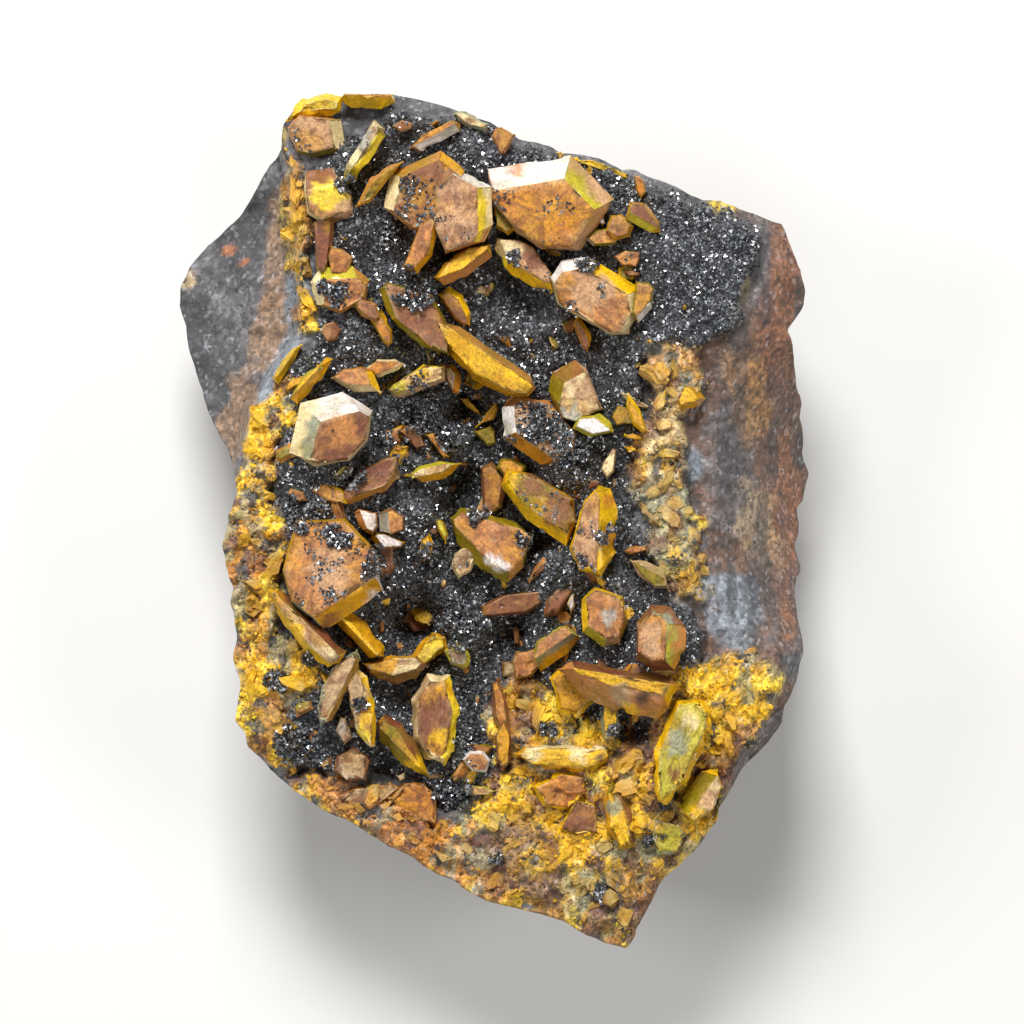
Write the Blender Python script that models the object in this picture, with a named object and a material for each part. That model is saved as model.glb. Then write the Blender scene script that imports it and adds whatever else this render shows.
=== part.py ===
# A loose piece of dark ore rock with a shallow hollow in its front. Fine black druse lines the
# hollow, and tabular hexagonal sturmanite crystals with bevelled edges stand in it.
# The rock lies on its flat broken back with the crystals up. The origin is at the middle of its
# footprint, on the surface it lies on. Numbers are in millimetres, made metres in add_object.

import math

import bpy
import numpy as np

MM = 0.001
GAP = 0.3
GRID_CELLS = 26

# A bevel's top edge keeps at least this share of its bottom edge; its inset grows in steps, up to a most.
LEAST_SIDE = 0.03
INSET_STEP = 0.02
MOST_INSET = 5.0

# The rock's outline from above, anticlockwise from its right side, and the point it is drawn round.
HEART = (1.8, 2.6)
OUTLINE = [
    (36.6, 2.6), (37.1, 6.1), (35.8, 12.4), (36.0, 14.1), (35.2, 17.8), (34.0, 22.4), (35.9, 25.1),
    (36.1, 26.8), (34.6, 31.4), (33.5, 34.8), (28.3, 36.6), (24.3, 37.5), (19.6, 39.8), (16.8, 40.9),
    (14.8, 40.8), (12.2, 42.2), (7.6, 43.2), (3.0, 44.6), (-1.8, 46.9), (-6.2, 48.6), (-10.8, 49.5),
    (-17.7, 49.6), (-20.8, 49.5), (-23.2, 48.1), (-24.4, 46.1), (-24.6, 43.4), (-28.3, 38.8),
    (-29.8, 36.2), (-33.1, 33.1), (-35.8, 30.0), (-37.0, 27.5), (-37.1, 25.6), (-36.2, 23.1),
    (-36.0, 20.5), (-34.2, 15.4), (-33.1, 12.1), (-31.5, 9.0), (-30.0, 4.8), (-29.8, 3.5),
    (-31.0, -0.7), (-31.4, -3.1), (-30.4, -7.7), (-30.5, -10.0), (-30.0, -13.5), (-30.4, -15.5),
    (-29.3, -18.3), (-30.2, -23.1), (-28.9, -24.4), (-28.6, -25.9), (-25.2, -29.7), (-22.5, -31.7),
    (-17.3, -34.6), (-13.9, -36.5), (-9.7, -38.8), (-5.1, -41.7), (-0.9, -43.9), (4.1, -45.0),
    (8.1, -46.2), (11.6, -48.2), (15.4, -49.6), (16.4, -48.4), (16.6, -47.3), (19.2, -42.3),
    (23.3, -37.8), (25.9, -34.5), (25.9, -33.1), (28.4, -29.4), (30.9, -26.9), (33.6, -23.3),
    (33.6, -21.2), (35.1, -18.6), (35.8, -14.4), (35.2, -7.7), (36.0, -5.8), (35.5, -3.1), (35.9, 1.7),
]

# Height of the broken front over the back, every 10 mm across and up, before ledges and hollows.
RELIEF_X = (-40, -30, -20, -10, 0, 10, 20, 30, 40)
RELIEF_Y = (50, 40, 30, 20, 10, 0, -10, -20, -30, -40, -50)
RELIEF = [
    (25, 25, 25, 26, 25, 23, 22, 22, 22),
    (25, 25, 26, 26, 25, 25, 26, 27, 26),
    (25, 25, 26, 24, 23, 24, 28, 30, 30),
    (25, 25, 26, 23, 21, 22, 28, 30, 30),
    (25, 25, 26, 22, 19, 22, 27, 28, 28),
    (24, 25, 26, 21, 19, 22, 27, 27, 27),
    (22, 24, 25, 20, 18, 22, 27, 27, 27),
    (20, 23, 25, 21, 19, 23, 27, 28, 28),
    (18, 20, 22, 22, 21, 23, 26, 26, 26),
    (14, 16, 19, 21, 22, 23, 23, 22, 22),
    (10, 12, 15, 17, 19, 21, 21, 20, 20),
]
RELIEF_REACH = 4.5

# The ledge that the left wing drops away from, and the ridge that the right side slopes away from,
# each as (y, x) points down the rock.
LEDGE = [(50, -26.5), (43.5, -24.2), (37, -22.7), (25, -22.1), (22, -22.3), (16, -26.3), (14, -28.1),
         (5, -29.8), (-5, -34.0)]
LEDGE_DROP = 5.0
LEDGE_RUN = 1.2
WING_SLOPE = 0.45
RIDGE = [(40, 34), (36, 30.6), (28.5, 31.5), (25.6, 30), (18.7, 26.6), (14, 26), (8, 24.5), (-4, 24.8),
         (-9, 27), (-15, 32), (-21.5, 32), (-25, 29.4), (-32, 26), (-37.6, 23.5), (-41, 18.5), (-49, 15.6)]
RIDGE_SLOPE = [(-15, 0.5), (-22, 2.0)]
RIDGE_BEND = 0.06

# Deep places and mounds of the druse: (x, y, radius, height).
DRUSE_THICK = 1.6
DRUSE_LUMPS = [
    (-9.0, 26.6, 2.6, 3.5), (1.8, 22.5, 4.0, 2.5), (-14.8, 22.0, 3.5, 1.5), (-4.0, 10.0, 2.0, 2.5),
    (-8.8, 2.0, 3.2, 2.5), (-11.0, -6.0, 4.5, 2.5), (-2.2, -12.3, 3.2, 3.5), (8.8, 7.2, 3.5, 3.0),
    (7.7, -6.3, 3.5, 2.5), (-19.0, -1.0, 4.0, 1.0), (-16.0, 34.0, 3.0, 1.0), (22.5, 29.0, 6.0, 1.0),
]
CAVES = [
    (-3.5, 13.0, 2.6, 4.0), (-3.6, 3.5, 2.5, 5.0), (-9.6, -11.7, 3.5, 6.0), (3.0, 26.5, 3.0, 4.0),
    (5.0, -2.0, 1.6, 3.0), (-13.0, -28.0, 1.8, 3.0), (16.2, -24.1, 2.0, 4.0), (2.0, -13.5, 2.5, 3.0),
]

# The hollow's rim, and the reach of the broken crystal mass below it.
HOLLOW = [
    (-11.5, 48.2), (-20, 42), (-20.5, 32), (-20.5, 22), (-24, 16), (-25.5, 8), (-25.5, 0), (-24, -6),
    (-25, -14), (-24, -21), (-25, -27), (-19, -29), (-12, -29.5), (-7, -31), (-3, -34.5), (0, -29.5),
    (3, -24), (11, -24), (17.5, -31), (18, -23), (24.5, -18), (24.2, -12), (19.3, -8), (17, -1),
    (15.5, 4), (17, 14), (18, 20.5), (24, 19.5), (27, 22), (29.3, 28), (29.3, 34.5), (23, 37),
    (15, 39.5), (8, 42), (3, 43.8), (-5.5, 47),
]
CRUMBLED = [
    (-20, -31), (-12, -31), (-6, -36), (0, -33), (4, -29), (12, -29), (17, -33), (21, -33), (24, -31),
    (25.5, -34), (16, -47), (5, -44), (-4, -41), (-12, -36),
]
CRUMB_THICK = 2.2

# The underside: how far in from the outline each ring of it lies, its number of points, and its
# height as a share of the outline's.
UNDERSIDE = [(0.965, 104, 0.62), (0.90, 52, 0.24), (0.81, 26, 0.04)]
FLAT_RING = (0.74, 26)

# The crystals of each node: corners seen from above, anticlockwise, how far in from each side the flat
# face starts, and the pose: drop from the face to the outline, lean in degrees, the compass direction it
# leans to, and the height of the face's middle over the ground below it.
CRYSTALS = {
    "upper_left_crystals": [
        ([(-24.0, 45.5), (-22.9, 42.6), (-20.2, 41.9), (-16.9, 42.7), (-17.6, 46.6), (-22.4, 47.1)],
         [0.3, 0.3, 0.8, 1.3, 0.3, 0.3], (1.2, 10, -80, 2.6)),
        ([(-24.0, 46.4), (-21.5, 46.6), (-17.8, 47.2), (-17.4, 49.2), (-19.4, 49.7), (-22.2, 49.0)],
         [0.8, 0.5, 0.4, 0.9, 0.9, 0.8], (1.4, 6, 90, 2.2)),
    ],
    "top_yellow_bar": [
        ([(-17.9, 48.8), (-16.6, 47.8), (-13.0, 47.6), (-11.3, 48.4), (-11.6, 49.5), (-17.4, 49.6)],
         [0.8, 1.4, 0.8, 0.3, 0.3, 0.3], (1.4, 8, -90, 2.5)),
    ],
    "pale_standing_crystal": [
        ([(-17.5, 38.5), (-15.7, 39.3), (-12.3, 44.4), (-12.4, 45.3), (-13.8, 46.3), (-16.9, 41.4)],
         [0.6, 1.1, 0.4, 0.3, 0.25, 0.3], (1.6, 15, 150, 4.2)),
    ],
    "left_block_crystals": [
        ([(-21.9, 38.0), (-21.5, 35.4), (-19.4, 34.1), (-16.0, 35.1), (-16.3, 37.9), (-18.4, 40.9),
          (-21.7, 40.4)],
         [0.3, 0.4, 0.7, 0.3, 0.9, 2.3, 0.3], (1.8, 8, -60, 3.2)),
        ([(-20.9, 34.6), (-20.5, 29.0), (-19.3, 28.2), (-18.4, 30.6), (-18.0, 34.8), (-19.3, 36.0)],
         [0.4, 0.3, 0.5, 0.7, 0.4, 0.3], (1.4, 10, 10, 2.0)),
    ],
    "thin_olive_plate": [
        ([(-15.9, 36.2), (-14.2, 36.7), (-12.3, 39.0), (-10.3, 41.5), (-12.2, 41.1), (-14.3, 39.5)],
         [0.3, 0.3, 0.3, 0.35, 0.5, 0.5], (0.8, 25, -50, 3.4)),
    ],
    "rim_white_edged_plate": [
        ([(-9.8, 43.0), (-8.2, 42.6), (-3.9, 45.0), (-3.8, 45.9), (-4.8, 46.4), (-8.4, 44.6)],
         [0.3, 1.0, 0.3, 0.3, 0.2, 0.2], (0.9, 6, -60, 2.3)),
    ],
    "rim_grey_plate": [
        ([(-4.9, 46.9), (-2.9, 45.3), (-0.9, 44.9), (-0.6, 46.0), (-3.2, 47.4), (-4.5, 47.5)],
         [0.4, 0.5, 0.3, 0.4, 0.4, 0.3], (1.0, 6, -90, 3.1)),
    ],
    "rim_tan_plate": [
        ([(-0.4, 44.4), (0.6, 42.3), (1.3, 42.4), (2.6, 44.7), (1.0, 45.7), (0.2, 45.6)],
         [0.3, 0.2, 0.3, 0.3, 0.2, 0.3], (0.9, 5, -90, 1.9)),
    ],
    "upper_hexagon_cluster": [
        ([(-12.8, 36.2), (-9.6, 33.6), (-4.4, 33.0), (-3.2, 40.6), (-6.1, 42.8), (-12.0, 40.2)],
         [0.4, 0.3, 0.3, 1.0, 1.0, 1.3], (1.5, 8, 215, 3.8)),
        ([(-6.8, 38.6), (-7.0, 33.8), (-5.6, 30.8), (-1.0, 32.2), (-0.1, 34.2), (-0.2, 38.6),
          (-4.2, 40.8)],
         [0.2, 0.2, 0.2, 1.1, 1.7, 1.0, 0.3], (1.7, 8, 200, 5.6)),
        ([(-7.0, 28.2), (-5.8, 27.2), (-3.2, 28.2), (-0.1, 30.6), (-0.4, 32.2), (-3.2, 31.9),
          (-5.6, 30.2)],
         [0.3, 1.0, 1.0, 0.4, 0.4, 0.5, 0.5], (1.8, 14, 130, 5.0)),
        ([(-10.6, 29.2), (-8.8, 28.5), (-7.0, 30.6), (-6.2, 34.3), (-6.9, 35.3), (-8.6, 34.2)],
         [0.4, 0.6, 0.6, 0.4, 0.25, 0.25], (1.2, 8, 170, 5.4)),
    ],
    "upper_right_hexagon": [
        ([(-0.6, 37.0), (2.4, 33.4), (5.4, 31.4), (10.0, 31.2), (12.6, 35.0), (13.9, 37.2), (8.8, 42.3),
          (-0.8, 40.7)],
         [0.25, 0.25, 0.25, 0.3, 1.3, 2.6, 2.7, 0.4], (2.4, 8, -120, 5.0)),
        ([(-0.1, 36.6), (0.2, 33.9), (1.6, 33.0), (2.6, 33.8), (2.4, 34.9), (1.2, 36.4)],
         [0.2, 0.3, 0.4, 0.5, 0.5, 0.3], (0.8, 20, 30, 3.4)),
    ],
    "rosette_crystals": [
        ([(12.7, 33.4), (14.0, 32.4), (15.8, 32.8), (16.1, 34.1), (14.7, 35.5), (13.3, 35.3)],
         [0.25, 0.3, 0.4, 0.3, 0.3, 0.25], (1.1, 6, -60, 3.4)),
        ([(10.4, 32.6), (11.4, 31.7), (14.0, 31.9), (14.6, 32.8), (13.6, 34.0), (11.6, 33.9)],
         [0.3, 0.3, 0.2, 0.2, 0.3, 0.3], (0.8, 12, 70, 2.8)),
        ([(15.5, 37.0), (15.0, 34.8), (18.0, 33.2), (19.2, 33.2), (19.1, 34.6), (17.4, 36.8)],
         [0.3, 0.9, 0.3, 0.3, 0.5, 0.3], (1.1, 8, 40, 2.8)),
    ],
    "right_hexagon_pair": [
        ([(6.4, 28.2), (7.2, 25.0), (13.4, 21.5), (15.6, 21.6), (17.2, 24.6), (16.9, 27.0), (10.8, 30.7),
          (7.7, 30.2)],
         [0.25, 0.25, 0.3, 1.1, 1.6, 1.5, 1.4, 0.8], (2.0, 8, -120, 5.2)),
        ([(15.6, 24.0), (16.6, 22.8), (18.2, 24.6), (18.5, 26.9), (17.9, 27.6), (16.2, 27.8)],
         [0.3, 0.7, 0.3, 0.3, 0.3, 0.3], (0.8, 5, 20, 2.4)),
    ],
    "small_orange_lens": [
        ([(9.0, 23.0), (10.0, 20.3), (10.8, 19.6), (11.3, 20.4), (11.2, 21.9), (9.7, 24.3)],
         [0.3, 0.3, 0.3, 0.4, 0.6, 0.3], (1.0, 12, 190, 2.8)),
    ],
    "middle_tan_plate": [
        ([(0.0, 31.6), (1.2, 29.0), (4.6, 27.0), (6.9, 26.4), (6.8, 28.8), (4.6, 31.9), (2.8, 32.8),
          (0.2, 32.9)],
         [0.9, 1.2, 1.0, 0.3, 0.25, 0.25, 0.3, 0.5], (1.7, 8, 50, 4.4)),
    ],
    "golden_bar_cluster": [
        ([(-13.3, 26.8), (-12.0, 23.2), (-8.4, 20.2), (-5.1, 19.2), (-4.9, 22.1), (-7.0, 26.3),
          (-12.2, 27.8)],
         [0.8, 0.7, 0.3, 0.3, 0.3, 0.3, 0.3], (1.6, 18, 35, 4.2)),
        ([(-6.9, 23.5), (-6.2, 21.6), (0.8, 14.6), (3.9, 14.3), (4.9, 15.5), (4.3, 17.0), (-3.9, 22.7)],
         [0.4, 1.9, 0.5, 0.4, 0.4, 1.4, 0.4], (2.8, 4, -40, 6.9)),
    ],
    "golden_crescent": [
        ([(-6.6, 26.3), (-4.7, 23.6), (-3.6, 22.6), (-2.7, 22.7), (-2.6, 24.4), (-3.5, 26.3),
          (-5.2, 27.4)],
         [0.3, 0.3, 0.3, 0.5, 0.8, 0.8, 0.5], (1.1, 8, 200, 3.0)),
    ],
    "left_orange_pair": [
        ([(-16.4, 25.2), (-15.2, 23.6), (-13.6, 23.0), (-12.9, 23.6), (-13.4, 25.2), (-15.2, 26.0)],
         [0.3, 0.3, 0.2, 0.3, 0.3, 0.3], (0.9, 12, -140, 2.8)),
        ([(-14.4, 23.6), (-13.0, 20.9), (-12.2, 20.1), (-11.6, 20.6), (-11.6, 22.4), (-12.9, 24.6)],
         [0.3, 0.4, 0.3, 0.3, 0.5, 0.3], (1.0, 12, 190, 3.0)),
    ],
    "left_olive_plates": [
        ([(-21.2, 27.6), (-20.4, 25.0), (-17.6, 24.0), (-14.6, 25.6), (-14.2, 28.0), (-16.2, 29.6),
          (-20.0, 29.4)],
         [0.9, 0.3, 0.3, 0.3, 0.8, 1.5, 0.9], (1.4, 6, -90, 2.7)),
        ([(-19.2, 30.6), (-18.8, 28.4), (-16.8, 28.2), (-16.0, 30.6), (-17.4, 31.6), (-18.8, 31.9)],
         [0.2, 0.25, 0.2, 0.2, 0.3, 0.2], (0.8, 6, -90, 2.3)),
    ],
    "edge_yellow_bar": [
        ([(-25.7, 16.6), (-24.8, 15.9), (-22.7, 19.0), (-22.0, 20.6), (-23.2, 20.2), (-24.6, 18.6)],
         [0.3, 0.6, 0.4, 0.2, 0.3, 0.3], (0.9, 6, 150, 2.3)),
    ],
    "golden_blade": [
        ([(-23.5, 14.3), (-22.5, 13.5), (-19.9, 16.1), (-18.4, 18.9), (-19.3, 19.1), (-22.0, 17.0)],
         [0.3, 1.2, 0.9, 0.2, 0.5, 0.4], (1.5, 8, 150, 3.6)),
    ],
    "tan_faceted_pair": [
        ([(-18.9, 16.6), (-16.0, 14.9), (-12.8, 14.8), (-13.9, 17.6), (-15.2, 18.1), (-17.4, 17.8)],
         [0.4, 0.9, 0.8, 0.3, 0.3, 0.3], (1.5, 8, 120, 3.4)),
        ([(-15.2, 17.6), (-13.4, 16.6), (-10.9, 17.5), (-10.2, 18.3), (-11.2, 18.9), (-13.6, 18.9)],
         [0.3, 0.5, 0.4, 0.2, 0.3, 0.3], (1.0, 6, 90, 3.0)),
    ],
    "cream_crystal_pair": [
        ([(-12.3, 15.3), (-11.6, 14.4), (-10.0, 14.6), (-5.6, 16.3), (-5.6, 18.2), (-8.2, 18.3),
          (-10.4, 17.1)],
         [0.3, 0.4, 0.5, 0.4, 0.3, 0.4, 0.4], (1.4, 8, -60, 4.0)),
        ([(-6.2, 18.4), (-5.6, 16.4), (-4.8, 14.9), (-4.0, 14.9), (-3.7, 17.0), (-4.6, 18.4)],
         [0.3, 0.3, 0.25, 0.8, 0.6, 0.3], (1.2, 8, 180, 3.6)),
    ],
    "left_hexagon": [
        ([(-23.6, 8.0), (-20.6, 6.4), (-16.6, 7.0), (-14.4, 9.4), (-13.8, 13.0), (-17.3, 15.1),
          (-22.2, 13.8)],
         [0.35, 0.25, 0.25, 0.25, 0.9, 2.7, 2.7], (2.4, 10, -50, 5.0)),
    ],
    "brown_layered_plate": [
        ([(-18.0, 3.2), (-16.8, 2.0), (-12.4, 3.6), (-11.0, 5.4), (-10.8, 7.9), (-12.4, 7.7),
          (-15.4, 6.2)],
         [0.3, 0.7, 0.6, 0.4, 0.25, 0.3, 0.3], (1.5, 8, 130, 3.3)),
    ],
    "yellow_green_lens": [
        ([(-10.6, 5.4), (-8.2, 4.6), (-5.4, 5.1), (-3.7, 6.9), (-6.2, 7.2), (-8.6, 6.7)],
         [0.3, 0.8, 0.7, 0.3, 0.5, 0.5], (1.2, 5, -80, 3.8)),
    ],
    "central_hexagon": [
        ([(0.8, 13.4), (1.0, 9.7), (5.4, 6.6), (9.4, 6.8), (9.6, 10.6), (6.4, 14.2), (2.6, 14.9)],
         [1.5, 1.4, 0.6, 0.3, 0.3, 0.6, 0.9], (1.8, 8, -60, 5.2)),
    ],
    "central_wedge": [
        ([(6.2, 15.2), (7.4, 12.0), (9.4, 11.4), (12.8, 13.0), (10.7, 17.9), (9.4, 18.9), (6.6, 17.4)],
         [0.6, 0.25, 0.25, 0.3, 0.6, 1.8, 1.6], (2.3, 14, -30, 5.0)),
        ([(8.9, 10.8), (11.0, 9.8), (13.9, 10.4), (13.6, 11.6), (12.2, 12.7), (9.6, 12.4)],
         [0.5, 0.3, 0.5, 0.8, 0.5, 0.4], (1.3, 8, 90, 4.3)),
    ],
    "olive_yellow_pair": [
        ([(13.4, 12.2), (14.0, 11.1), (16.2, 11.3), (16.4, 13.0), (14.2, 13.7)],
         [0.2, 0.2, 0.2, 0.2, 0.2], (0.7, 8, 200, 2.2)),
        ([(15.1, 13.6), (15.9, 11.2), (17.0, 10.2), (17.7, 10.5), (17.0, 12.8), (15.4, 15.0)],
         [0.3, 0.4, 0.3, 0.3, 0.5, 0.3], (0.9, 8, 200, 2.8)),
    ],
    "cream_sliver": [
        ([(12.2, 6.2), (13.0, 5.0), (13.9, 5.9), (14.2, 8.5), (13.6, 8.7), (12.6, 7.2)],
         [0.2, 0.2, 0.25, 0.25, 0.2, 0.2], (0.8, 10, 190, 3.0)),
    ],
    "big_yellow_cluster": [
        ([(0.6, 4.2), (3.6, 0.4), (8.4, -2.8), (9.6, 0.0), (9.4, 2.8), (4.4, 5.8), (1.4, 6.4)],
         [0.9, 1.3, 0.4, 0.3, 0.3, 0.3, 0.5], (1.8, 8, 50, 5.0)),
        ([(-1.7, 6.4), (-1.4, 1.8), (-0.4, 0.6), (1.2, 1.8), (1.6, 5.0), (-0.2, 7.2)],
         [0.3, 0.3, 0.3, 0.7, 0.4, 0.3], (1.2, 10, 190, 3.2)),
        ([(0.2, 6.4), (1.2, 5.2), (3.4, 5.4), (3.8, 6.6), (2.2, 7.6), (0.8, 7.6)],
         [0.3, 0.3, 0.3, 0.4, 0.3, 0.3], (1.0, 8, 150, 3.4)),
    ],
    "speckled_plates": [
        ([(-5.2, 0.6), (-4.4, -2.4), (-1.0, -6.0), (1.6, -7.0), (3.4, -5.2), (4.6, -1.6), (2.6, 0.2),
          (-3.8, 2.0)],
         [0.4, 1.3, 1.3, 0.7, 0.3, 0.3, 0.7, 0.5], (1.7, 6, 60, 5.2)),
        ([(-5.1, -5.0), (-4.2, -6.6), (-2.6, -5.8), (-1.6, -3.6), (-3.2, -2.4), (-4.8, -3.4)],
         [0.3, 0.3, 0.3, 0.2, 0.3, 0.2], (1.2, 6, -110, 3.8)),
    ],
    "white_faceted_cluster": [
        ([(-16.2, 1.2), (-15.4, -0.9), (-14.0, -1.5), (-13.3, -0.4), (-13.4, 1.3), (-15.6, 1.7)],
         [0.8, 0.5, 0.2, 0.2, 0.2, 0.2], (1.2, 8, 60, 3.0)),
        ([(-13.4, 1.2), (-13.2, -1.0), (-11.8, -1.5), (-10.2, -0.8), (-10.2, 0.8), (-11.8, 1.9)],
         [1.2, 0.2, 0.2, 0.3, 0.3, 0.4], (1.2, 6, -20, 3.0)),
        ([(-14.4, -1.7), (-13.2, -3.0), (-10.6, -2.9), (-10.2, -2.2), (-12.6, -1.1), (-13.8, -1.1)],
         [0.6, 0.2, 0.2, 0.2, 0.2, 0.3], (1.1, 6, 80, 2.9)),
    ],
    "small_yellow_crystal": [
        ([(-6.9, 0.2), (-6.5, -1.2), (-5.6, -2.5), (-5.2, -1.4), (-5.6, 0.2), (-6.3, 0.6)],
         [0.3, 0.4, 0.3, 0.3, 0.3, 0.2], (1.1, 8, 90, 3.4)),
    ],
    "golden_point": [
        ([(-9.2, -4.9), (-7.4, -4.2), (-6.9, -2.3), (-7.4, -1.2), (-8.4, -1.9)],
         [0.4, 0.6, 0.4, 0.3, 0.3], (1.1, 8, 150, 3.2)),
    ],
    "bright_yellow_crystal": [
        ([(20.6, 14.0), (21.2, 12.9), (23.6, 13.3), (24.4, 14.3), (22.9, 16.0), (21.6, 16.2)],
         [0.5, 0.6, 0.7, 0.7, 0.6, 0.5], (1.5, 6, 150, 2.8)),
    ],
    "tall_yellow_crystal": [
        ([(10.2, 2.6), (8.6, -2.8), (9.6, -5.6), (12.4, -6.2), (14.1, -3.4), (14.3, 1.8), (13.4, 4.0),
          (12.0, 4.4)],
         [0.3, 0.3, 0.3, 0.7, 2.2, 1.6, 0.4, 0.3], (2.3, 8, 190, 5.6)),
    ],
    "olive_tan_blade": [
        ([(15.5, -4.2), (16.4, -6.0), (18.4, -7.6), (20.2, -7.6), (19.6, -5.4), (17.4, -4.2)],
         [0.3, 0.4, 0.4, 0.3, 0.8, 0.3], (1.0, 8, -130, 2.6)),
    ],
    "lower_hexagon": [
        ([(9.9, -8.8), (10.1, -12.6), (12.6, -14.4), (14.6, -13.9), (15.5, -11.2), (15.0, -8.4),
          (11.6, -7.2)],
         [0.7, 1.0, 0.9, 0.5, 0.3, 0.3, 0.3], (1.5, 6, 60, 4.2)),
    ],
    "box_crystal": [
        ([(16.2, -11.4), (16.2, -15.7), (18.4, -17.0), (20.7, -16.9), (22.0, -14.4), (22.1, -11.6),
          (20.2, -9.5), (17.9, -9.1)],
         [0.2, 0.9, 1.3, 1.2, 2.4, 1.6, 1.2, 0.8], (3.2, 6, 180, 6.4)),
    ],
    "shadowed_brown_plate": [
        ([(-1.6, -11.2), (4.0, -10.6), (7.2, -8.6), (6.6, -7.6), (1.0, -8.2), (-1.8, -9.6)],
         [0.4, 0.4, 0.3, 0.2, 0.3, 0.3], (1.0, 8, -100, 2.4)),
    ],
    "tan_bar_crystals": [
        ([(4.4, -15.6), (5.4, -17.2), (8.4, -15.2), (10.1, -13.2), (8.5, -11.8), (7.6, -11.8),
          (4.8, -13.6)],
         [0.3, 1.7, 1.2, 0.3, 0.2, 0.25, 0.25], (2.0, 6, 125, 4.8)),
        ([(1.9, -16.0), (2.4, -18.3), (4.4, -18.0), (6.2, -15.8), (5.0, -14.2), (2.4, -14.8)],
         [0.3, 0.4, 0.4, 0.4, 0.3, 0.3], (1.4, 6, -120, 3.4)),
    ],
    "lower_left_hexagon": [
        ([(-24.4, -5.4), (-23.4, -9.2), (-19.3, -12.4), (-12.6, -7.9), (-13.4, -3.2), (-17.0, 0.6),
          (-22.8, 0.4)],
         [0.3, 0.35, 2.0, 0.5, 0.3, 0.3, 0.3], (1.9, 6, 120, 4.2)),
    ],
    "long_yellow_bar": [
        ([(-26.2, -7.6), (-24.4, -11.4), (-21.9, -14.6), (-19.2, -16.9), (-17.6, -16.2), (-16.9, -14.7),
          (-22.7, -9.0), (-24.6, -7.5)],
         [0.5, 0.9, 0.9, 0.5, 0.3, 0.9, 0.6, 0.4], (1.6, 6, -135, 4.2)),
    ],
    "golden_ridge_crystal": [
        ([(-19.2, -9.3), (-18.4, -11.4), (-14.4, -15.6), (-12.6, -15.5), (-12.5, -14.2), (-15.0, -11.2),
          (-17.4, -9.6)],
         [0.3, 0.9, 0.3, 0.3, 1.2, 1.0, 0.3], (1.9, 5, -45, 4.6)),
    ],
    "horizontal_bar": [
        ([(-15.4, -16.2), (-14.2, -17.9), (-11.4, -18.7), (-9.0, -18.0), (-7.6, -16.4), (-9.0, -15.2),
          (-12.0, -15.2)],
         [0.4, 1.0, 1.1, 0.7, 0.3, 0.3, 0.4], (1.6, 5, -90, 4.8)),
        ([(-10.2, -16.0), (-8.4, -17.2), (-5.4, -14.6), (-5.6, -13.2), (-7.2, -12.4), (-8.4, -13.4)],
         [0.3, 0.5, 0.3, 0.3, 0.5, 0.7], (1.5, 5, 130, 5.0)),
        ([(-6.0, -14.8), (-5.0, -16.6), (-3.2, -16.8), (-2.6, -15.4), (-3.6, -13.8), (-5.2, -13.8)],
         [0.3, 0.4, 0.4, 0.4, 0.3, 0.3], (1.4, 5, 60, 4.2)),
    ],
    "v_pair_crystals": [
        ([(-17.2, -18.2), (-16.6, -21.4), (-15.8, -24.2), (-14.3, -26.0), (-13.6, -25.8), (-13.5, -21.2),
          (-14.6, -17.6), (-15.8, -16.4)],
         [0.3, 0.3, 0.4, 0.2, 0.5, 0.7, 0.6, 0.4], (1.5, 6, 190, 4.4)),
        ([(-20.5, -21.6), (-20.0, -23.3), (-18.6, -23.0), (-16.6, -18.8), (-15.2, -15.8), (-15.7, -14.4),
          (-18.3, -15.8), (-19.9, -18.9)],
         [0.3, 0.3, 0.6, 0.4, 0.2, 0.3, 0.3, 0.3], (1.4, 6, 150, 4.0)),
    ],
    "oval_plate": [
        ([(-9.6, -20.4), (-9.6, -25.0), (-8.0, -27.4), (-5.6, -28.2), (-4.6, -26.4), (-3.8, -21.4),
          (-5.0, -17.4), (-7.8, -17.4)],
         [0.8, 0.8, 0.7, 0.6, 0.9, 1.0, 0.8, 0.7], (1.4, 6, 175, 4.0)),
    ],
    "brown_gold_lens": [
        ([(-13.5, -22.9), (-13.3, -25.2), (-10.2, -28.4), (-7.4, -29.5), (-8.6, -25.8), (-10.4, -23.0),
          (-12.6, -22.0)],
         [0.3, 1.2, 0.7, 0.4, 1.1, 0.9, 0.3], (1.7, 5, -45, 3.7)),
    ],
    "white_dusted_crystal": [
        ([(-3.8, -27.4), (-2.6, -28.8), (-0.8, -29.0), (-0.3, -27.4), (-1.2, -26.3), (-2.8, -26.2)],
         [0.4, 0.3, 0.4, 0.4, 0.4, 0.3], (1.1, 6, -60, 2.8)),
    ],
    "upright_brown_plates": [
        ([(-0.6, -18.6), (-0.2, -22.4), (0.8, -24.6), (1.9, -24.0), (1.6, -20.2), (0.6, -17.8)],
         [0.4, 0.4, 0.3, 0.5, 0.5, 0.3], (1.2, 6, 200, 3.1)),
        ([(0.0, -24.6), (0.2, -27.6), (1.0, -28.9), (2.0, -27.6), (2.2, -24.4), (1.2, -22.4)],
         [0.3, 0.4, 0.3, 0.4, 0.4, 0.3], (1.2, 6, 190, 3.0)),
    ],
    "lower_right_bar": [
        ([(7.2, -16.8), (10.6, -20.4), (14.6, -21.8), (18.8, -22.6), (20.0, -21.2), (21.3, -18.4),
          (20.3, -17.5), (8.8, -15.6)],
         [1.5, 2.7, 3.0, 1.2, 1.0, 0.5, 0.9, 0.4], (2.6, 5, -95, 6.0)),
        ([(6.3, -18.0), (7.4, -21.8), (9.4, -22.6), (12.0, -20.6), (11.2, -17.6), (7.4, -16.8)],
         [0.5, 0.6, 0.6, 0.6, 0.5, 0.4], (1.5, 5, -150, 3.6)),
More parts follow.
